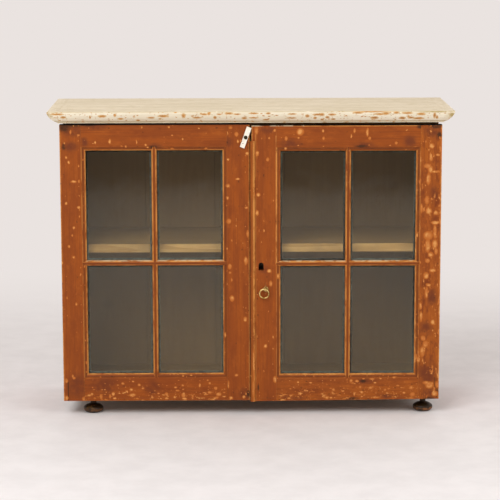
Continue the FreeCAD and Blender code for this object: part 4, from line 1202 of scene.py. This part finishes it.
def set_out(tree, given, shape):
    """Copies a shape to the given points, faced and turned at random, as one plain mesh with its finish."""
    copies = add(tree, "GeometryNodeInstanceOnPoints", {"Points": given["Geometry"], "Instance": shape})
    if "Heading" in given:
        copies = add(tree, "GeometryNodeRotateInstances", {"Instances": copies, "Rotation": given["Heading"]})
    luck = tree.nodes.new("FunctionNodeRandomValue")
    luck.inputs[3].default_value = math.tau
    tree.links.new(given["Seed"], luck.inputs["Seed"])
    twist = add(tree, "ShaderNodeCombineXYZ", {2: luck.outputs[1]})
    turned = add(tree, "GeometryNodeRotateInstances", {"Instances": copies, "Rotation": twist})
    real = add(tree, "GeometryNodeRealizeInstances", {"Geometry": turned})
    return add(tree, "GeometryNodeSetMaterial", {"Geometry": real, "Material": given["Finish"]})


print("trees: named inputs, fixed seeds, plain meshes")

# %% Lathe tree
seam_gap = 0.00002
lathe, given, result = new_tree(
    "turned_foot",
    [("Section", "Object"), ("Sides", "Int"), ("Rows", "Int"), ("Seed", "Int"), ("Finish", "Material")],
)
drawn = add(lathe, "GeometryNodeObjectInfo", {"Object": given["Section"]}, out="Geometry")
curve = add(lathe, "GeometryNodeMeshToCurve", {0: drawn})
grid = lathe.nodes.new("GeometryNodeMeshGrid")
lathe.links.new(given["Rows"], grid.inputs["Vertices X"])
lathe.links.new(given["Sides"], grid.inputs["Vertices Y"])
chart = split(lathe, grid.outputs["UV Map"])
read = add(lathe, "GeometryNodeSampleCurve", {"Curves": curve, "Factor": chart[0]}, out="Position")
radius, _, height = split(lathe, read)
turn = calc(lathe, "MULTIPLY", chart[1], math.tau)
sideways, forward = (calc(lathe, "MULTIPLY", radius, calc(lathe, way, turn)) for way in ("COSINE", "SINE"))
around = add(lathe, "ShaderNodeCombineXYZ", {0: sideways, 1: forward, 2: height})
bent = add(lathe, "GeometryNodeSetPosition", {"Geometry": grid.outputs["Mesh"], "Position": around})
closed = add(lathe, "GeometryNodeMergeByDistance", {"Geometry": bent, "Distance": seam_gap})
lathe.links.new(set_out(lathe, given, closed), result[0])
print("lathe tree:", len(lathe.nodes), "nodes")

# %% [markdown]
# The section follows the solid foot: a flat base, a low round rim, a shoulder and a long thin neck with a
# spigot. A fine groove shows where the turner marked the rim. The wood is dark, nearly black in the
# hollows, and rubbed to a warm brown round the rim, with the lathe's rings just visible. The warm band is
# wear and partly a painted highlight, painted stronger on the feet at the right than on those at the
# left, which stand in shade.

# %% Section of a foot
section = [(0.0, 0.0), (0.0172, 0.0), (0.018, 0.0006)]
section += arc_points((0.018, 0.0006), (0.0275, 0.0065), 0.0012, 8)[1:]
section += arc_points((0.0275, 0.0065), (0.0286, 0.0106), 0.0003, 4)[1:]
section += [(0.0279, 0.0110), (0.0286, 0.0114)]
section += arc_points((0.0286, 0.0114), (0.0272, 0.0165), 0.0004, 5)[1:]
section += arc_points((0.0272, 0.0165), (0.012, 0.0245), 0.0012, 10)[1:]
section += arc_points((0.012, 0.0245), (0.0085, 0.028), -0.0007, 6)[1:]
section += [(0.0085, 0.0449), (0.007, 0.045), (0.007, 0.063), (0.0, 0.063)]
drawing = bpy.data.meshes.new("foot_section")
drawing.from_pydata([(r, 0.0, h) for r, h in section], [(i, i + 1) for i in range(len(section) - 1)], [])
foot_section = bpy.data.objects.new("foot_section", drawing)
scene.collection.objects.link(foot_section)
print("foot section:", len(section), "points")

# %% Dark wood and feet
foot_wood, tree = new_material("dark_turned_wood")
spot = add(tree, "ShaderNodeTexCoord", out="Object")
rings = cloud(tree, steer(tree, "MULTIPLY", spot, (0.25, 0.25, 1.0)), 420.0, 3.0)
worn_noise = cloud(tree, spot, 70.0, 5.0, 0.65)
wood = blend(tree, fade(tree, rings, 0.35, 0.7), tint(28, 17, 5), tint(50, 33, 12))
wood = blend(tree, fade(tree, worn_noise, 0.54, 0.7), wood, tint(104, 72, 32))
parts = split(tree, spot)
rim_band = near_lines(tree, parts, [(2, 8.0, 6.5, 1.0)])
# Painted highlight: the rim band is stronger on the right feet and weaker on the left ones in shade.
highlight_on_right = calc(tree, "MULTIPLY_ADD", fade(tree, parts[0], -0.4, 0.4), 0.6, 0.4)
rubbed = calc(tree, "MULTIPLY", rim_band, fade(tree, worn_noise, 0.36, 0.56))
wood = blend(tree, calc(tree, "MULTIPLY", rubbed, highlight_on_right), wood, tint(134, 84, 44))
sheen = calc(tree, "MULTIPLY_ADD", worn_noise, 0.3, 0.35)
coat(tree, Base_Color=wood, Roughness=sheen, Normal=relief(tree, rings, 0.0002), Specular_IOR_Level=0.3)

foot_crease = math.radians(50)
feet = [node for node in nodes if node.endswith("_foot")]
axes = [((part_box(node)[0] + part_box(node)[1]) / 2).xy.to_3d() for node in feet]
values = {"Section": foot_section, "Sides": 73, "Rows": 150, "Seed": 5, "Finish": foot_wood}
mesh = grow(lathe, axes, values)
bpy.data.objects.remove(foot_section)
for polygon in mesh.polygons:
    polygon.use_smooth = True
mesh.set_sharp_from_angle(angle=foot_crease)
settle(mesh, "turned_feet", foot_wood, "foot_wood", *feet)
print("feet:", len(feet), "of", len(mesh.polygons) // len(feet), "faces")

# %% [markdown]
# ## Screws and nails
# The hinges, the lock and the bolt are held by slotted screws, and the back and the top by nails with
# flat heads. Both are a cone on a rod, and a screw has a slot cut across it, so one function builds both
# trees. A tree makes one fastener and copies it to every place, turned at random, because nobody lines up
# slots on a cupboard. The places are read from the solids of each group of fasteners, so they follow the
# solid model.

# %% Fastener places and iron
def solids_of(node):
    """Lowest and highest corner of each separate solid in a node."""
    shell = weld(node)
    left_over = set(shell.verts)
    boxes = []
    for seed in shell.verts:
        if seed not in left_over:
            continue
        left_over.discard(seed)
        group = [seed]
        for vert in group:
            for edge in vert.link_edges:
                other = edge.other_vert(vert)
                if other in left_over:
                    left_over.discard(other)
                    group.append(other)
        corners = [[f(v.co[i] for v in group) for i in range(3)] for f in (min, max)]
        boxes.append((Vector(corners[0]), Vector(corners[1])))
    shell.free()
    return sorted(boxes, key=lambda box: tuple(round(c, 5) for c in box[0]))


def old_metal(name, clean, tarnish, spots, metallic, rough):
    """Handled metal with tarnish in blotches and a few corroded spots."""
    material, tree = new_material(name)
    spot = add(tree, "ShaderNodeTexCoord", out="Object")
    dull = cloud(tree, spot, 120.0, 5.0, 0.65)
    fine = cloud(tree, spot, 700.0, 2.0)
    tone = blend(tree, fade(tree, dull, 0.36, 0.66), clean, tarnish)
    tone = blend(tree, fade(tree, cloud(tree, spot, 45.0, 6.0, 0.7), 0.6, 0.72), tone, spots)
    gloss = calc(tree, "MULTIPLY_ADD", dull, 0.3, rough)
    coat(tree, Base_Color=tone, Metallic=metallic, Roughness=gloss, Normal=relief(tree, fine, 0.00012))
    return material


iron = old_metal("old_iron", tint(92, 84, 74), tint(58, 48, 40), tint(98, 58, 32), 0.75, 0.4)
groups = {node: solids_of(node) for node in nodes if node.endswith("_screws") or node == "carcass_nails"}
print("fasteners:", {node: len(found) for node, found in groups.items()})


# %% Trees of fasteners
def raised(tree, shape, height):
    """A shape moved up by some height."""
    shift = add(tree, "ShaderNodeCombineXYZ", {2: height})
    return add(tree, "GeometryNodeTransform", {"Geometry": shape, "Translation": shift})


def fastener_tree(name, head_sides, shank_sides, slotted):
    """Tree for a fastener whose head lies at a point and whose shank hangs below, before it is faced."""
    sizes = ["Top radius", "Under radius", "Head depth", "Shank radius", "Length"]
    if slotted:
        sizes.append("Slot width")
    others = [("Heading", "Vector"), ("Seed", "Int"), ("Finish", "Material")]
    tree, given, result = new_tree(name, [(label, "Float") for label in sizes] + others)
    radii = {"Radius Top": given["Top radius"], "Radius Bottom": given["Under radius"]}
    cone = add(tree, "GeometryNodeMeshCone", {"Vertices": head_sides, **radii, "Depth": given["Head depth"]})
    drop = calc(tree, "MULTIPLY", given["Head depth"], -1.0)
    head = raised(tree, cone, drop)
    if slotted:
        across_head = calc(tree, "MULTIPLY", given["Top radius"], 2.4)
        slot = {0: across_head, 1: given["Slot width"], 2: given["Head depth"]}
        saw = add(tree, "GeometryNodeMeshCube", {"Size": add(tree, "ShaderNodeCombineXYZ", slot)})
        head = add(tree, "GeometryNodeMeshBoolean", {0: head, 1: saw}, operation="DIFFERENCE")
    rod_sizes = {"Vertices": shank_sides, "Radius": given["Shank radius"], "Depth": given["Length"]}
    rod = add(tree, "GeometryNodeMeshCylinder", rod_sizes)
    sunk = calc(tree, "MULTIPLY", drop, 0.85)
    shank = raised(tree, rod, calc(tree, "MULTIPLY_ADD", given["Length"], -0.5, sunk))
    whole = tree.nodes.new("GeometryNodeJoinGeometry")
    for shape in (head, shank):
        tree.links.new(shape, whole.inputs[0])
    tree.links.new(set_out(tree, given, whole.outputs[0]), result[0])
    return tree


screws = fastener_tree("slotted_screw", head_sides=28, shank_sides=14, slotted=True)
nails = fastener_tree("flat_nail", head_sides=7, shank_sides=8, slotted=False)
print("fastener trees:", len(screws.nodes), "and", len(nails.nodes), "nodes")

# %% Screws of each body
screw_sizes = {
    "Top radius": 0.0032, "Under radius": 0.0015, "Head depth": 0.0017,
    "Shank radius": 0.0015, "Length": 0.0123, "Slot width": 0.0009,
}
for seed, node in enumerate(sorted(n for n in groups if n.endswith("_screws"))):
    towards = -1 if node.startswith("frame") else 1
    places = []
    for lowest, highest in groups[node]:
        middle = (lowest + highest) / 2
        middle.y = lowest.y if towards < 0 else highest.y
        places.append(middle)
    values = dict(screw_sizes, Heading=(-towards * math.pi / 2, 0.0, 0.0), Seed=seed + 3, Finish=iron)
    settle(grow(screws, places, values), "slotted_" + node, iron, "old_iron", node)
    print(node, len(places))

# %% [markdown]
# Nails in the back show their dark flat heads. Those in the top were punched level with the wood and
# painted over, so they get the cream paint, a shade dirtier, and can hardly be seen. A nail head was
# hammered flat by hand, so it has a few uneven facets, which a cone with seven sides gives.

# %% Nails
top_places = []
back_places = []
for lowest, highest in groups["carcass_nails"]:
    middle = (lowest + highest) / 2
    if highest.z - lowest.z > highest.y - lowest.y:
        top_places.append(Vector((middle.x, middle.y, highest.z)))
    else:
        back_places.append(Vector((middle.x, highest.y, middle.z)))
filled = chalky("painted_nail", tint(226, 210, 180), tint(196, 172, 134))
nail_sizes = {"Top radius": 0.00258, "Under radius": 0.003, "Head depth": 0.0012, "Shank radius": 0.0013}
values = dict(nail_sizes, Length=0.0607, Heading=(0.0, 0.0, 0.0), Seed=11, Finish=filled)
settle(grow(nails, top_places, values), "top_nails", filled, "top_paint", "carcass_nails")
values = dict(nail_sizes, Length=0.0327, Heading=(-math.pi / 2, 0.0, 0.0), Seed=12, Finish=iron)
settle(grow(nails, back_places, values), "back_nails", iron, "old_iron", "carcass_nails")
print("nails:", len(top_places), "in the top and", len(back_places), "in the back")

# %% [markdown]
# ## Hinges, bolt and lock
# These are plain pressed and forged iron, hidden while the doors are shut. The hinge leaves and pins stay
# as the solid model has them, since their knuckles must turn on each other exactly. The bolt, its plate
# and the lock get their edges filed round, as a smith would leave them.

# %% Ironwork
kept = [node for node in nodes if node.endswith("hinge_leaves") or node == "hinge_pins"]
for node in kept:
    nodes[node].data.materials[0] = iron
filed = {"inner_bolt_plate": 0.0006, "inner_bolt": 0.0007, "lock_case": 0.0005, "lock_bolt": 0.0005}
for node, arris in filed.items():
    worn_board(node, iron, "old_iron", arris=arris, shortest=0.0016)
print("ironwork:", len(kept), "nodes kept and", len(filed), "filed")

# %% [markdown]
# ## The turn button
# A short flat bar, painted white and left leaning, turns on a round-headed screw to hold the doors shut.
# Its paint is chipped grey at the ends. The screw head is domed with a worn slot: a half-round section is
# spun in mesh code, and a Boolean modifier cuts the slot.

# %% Button
white = palette(
    main=(246, 241, 228),
    deep=(236, 230, 214),
    warm=(248, 244, 232),
    blotch=(224, 217, 200),
    shade=(214, 206, 190),
    rubbed=(214, 206, 190),
    rim=(168, 158, 146),
    core=(120, 108, 98),
    older=(142, 126, 108),
    stain=(150, 140, 126),
)
button_chips = [(-23, 787, 6, 3), (-26, 792, 3, 4)]
button_paint = old_paint("paint_button", white, 2, patches=0.2, specks=0.12, chips=button_chips)
worn_board("turn_button", button_paint, "button_white", arris=0.0009, steps=3)
print("button:", len(button_chips), "larger chips")


# %% Screw of the button
def spun(points, axis_point, sides):
    """Solid of revolution about an axis along Y; points are radius and distance in front of the door."""
    shell = bmesh.new()
    rings = []
    for radius, ahead_by in points:
        if radius == 0.0:
            rings.append([shell.verts.new(axis_point + Vector((0.0, -ahead_by, 0.0)))])
            continue
        ring = []
        for i in range(sides):
            angle = math.tau * i / sides
            offset = Vector((radius * math.cos(angle), -ahead_by, radius * math.sin(angle)))
            ring.append(shell.verts.new(axis_point + offset))
        rings.append(ring)
    for a, b in zip(rings, rings[1:]):
        for i in range(sides):
            k = (i + 1) % sides
            corners = [a[i % len(a)], a[k % len(a)], b[k % len(b)], b[i % len(b)]]
            shell.faces.new(list(dict.fromkeys(corners)))
    bmesh.ops.recalc_face_normals(shell, faces=shell.faces[:])
    return shell


stem = 0.0022
cap = 0.0055
cap_height = 0.003
lip_height = 0.0005
slot_size = (0.014, 0.0026, 0.0012, 1.0)
slot_turn = 0.5
low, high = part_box("turn_button_screw")
middle = (low + high) / 2
seat = Vector((middle.x, high.y, middle.z))
tall = high.y - low.y
under = tall - cap_height
dome = [(0.0, 0.0), (stem, 0.0), (stem, under), (cap - 0.0001, under), (cap, under + lip_height)]
for slope in (0.3, 0.6, 0.9, 1.2):
    rise = (cap_height - lip_height) * math.sin(slope)
    dome.append((cap * math.cos(slope), under + lip_height + rise))
dome.append((0.0, tall))
blank = bpy.data.objects.new("blank", smooth_mesh(spun(dome, seat, sides=40), "button_screw"))
slot_cut = bmesh.new()
place = Matrix.Translation((middle.x, low.y, middle.z)) @ Matrix.Rotation(slot_turn, 4, "Y")
bmesh.ops.create_cube(slot_cut, size=1.0, matrix=place @ Matrix.Diagonal(slot_size))
cutter = bpy.data.objects.new("cutter", bpy.data.meshes.new("slot"))
slot_cut.to_mesh(cutter.data)
slot_cut.free()
for helper in (blank, cutter):
    scene.collection.objects.link(helper)
saw = blank.modifiers.new("slot", "BOOLEAN")
saw.operation = "DIFFERENCE"
saw.object = cutter
slotted = plain_mesh(blank)
for helper in (blank, cutter):
    bpy.data.objects.remove(helper)
dark_iron = old_metal("dark_screw", tint(70, 62, 40), tint(40, 36, 24), tint(84, 66, 34), 0.6, 0.4)
settle(slotted, "button_screw", dark_iron, "old_iron", "turn_button_screw")
print("button screw:", len(slotted.polygons), "faces")

# %% [markdown]
# ## The ring pull
# A brass ring hangs in a flat eye on a small round rose. The ring is a circle swept with a thinner
# circle, which is one step in Geometry Nodes. A little noise thins the wire, as fingers did, and two
# turns lay it in its plane and lean it to the left, where it was left hanging.

# %% Ring
brass = old_metal("old_brass", tint(238, 212, 142), tint(164, 132, 66), tint(92, 84, 44), 1.0, 0.16)
hoop, given, result = new_tree(
    "swept_ring",
    [("Ring radius", "Float"), ("Wire radius", "Float"), ("Lean", "Float"), ("Eye", "Vector"),
     ("Finish", "Material")],
)
circle = add(hoop, "GeometryNodeCurvePrimitiveCircle", {"Resolution": 120, "Radius": given["Ring radius"]})
where = add(hoop, "GeometryNodeInputPosition")
rubbed = add(hoop, "ShaderNodeTexNoise", {"Vector": where, "Scale": 160.0, "Detail": 2.0})
thick = calc(hoop, "MULTIPLY_ADD", fade(hoop, rubbed, 0.3, 0.7), -0.07, 1.0)
wire = add(hoop, "GeometryNodeSetCurveRadius", {"Curve": circle, "Radius": thick})
profile = add(hoop, "GeometryNodeCurvePrimitiveCircle", {"Resolution": 22, "Radius": given["Wire radius"]})
swept = add(hoop, "GeometryNodeCurveToMesh", {"Curve": wire, "Profile Curve": profile, "Scale": thick})
fall = add(hoop, "ShaderNodeCombineXYZ", {2: calc(hoop, "MULTIPLY", given["Ring radius"], -1.0)})
upright = (math.pi / 2, 0.0, 0.0)
hung = add(hoop, "GeometryNodeTransform", {"Geometry": swept, "Translation": fall, "Rotation": upright})
lean = add(hoop, "ShaderNodeCombineXYZ", {1: given["Lean"]})
placed = {"Geometry": hung, "Translation": given["Eye"], "Rotation": lean}
smooth = add(hoop, "GeometryNodeSetShadeSmooth", {"Geometry": add(hoop, "GeometryNodeTransform", placed)})
real = add(hoop, "GeometryNodeRealizeInstances", {"Geometry": smooth})
finished = add(hoop, "GeometryNodeSetMaterial", {"Geometry": real, "Material": given["Finish"]})
hoop.links.new(finished, result[0])
eye = next(joint for joint in frame["joints"] if joint["child"] == "pull_ring")["pos_m"]
values = {
    "Ring radius": 0.013, "Wire radius": 0.002, "Lean": math.radians(22), "Eye": tuple(eye), "Finish": brass
}
settle(grow(hoop, [(0.0, 0.0, 0.0)], values), "brass_ring", brass, "brass", "pull_ring")
worn_board("pull_post", brass, "brass", arris=0.0006, shortest=0.0, steps=3)
worn_board("pull_nut", brass, "brass", arris=0.0004, shortest=0.003)
print("ring pull: hung at", [round(c, 4) for c in eye])
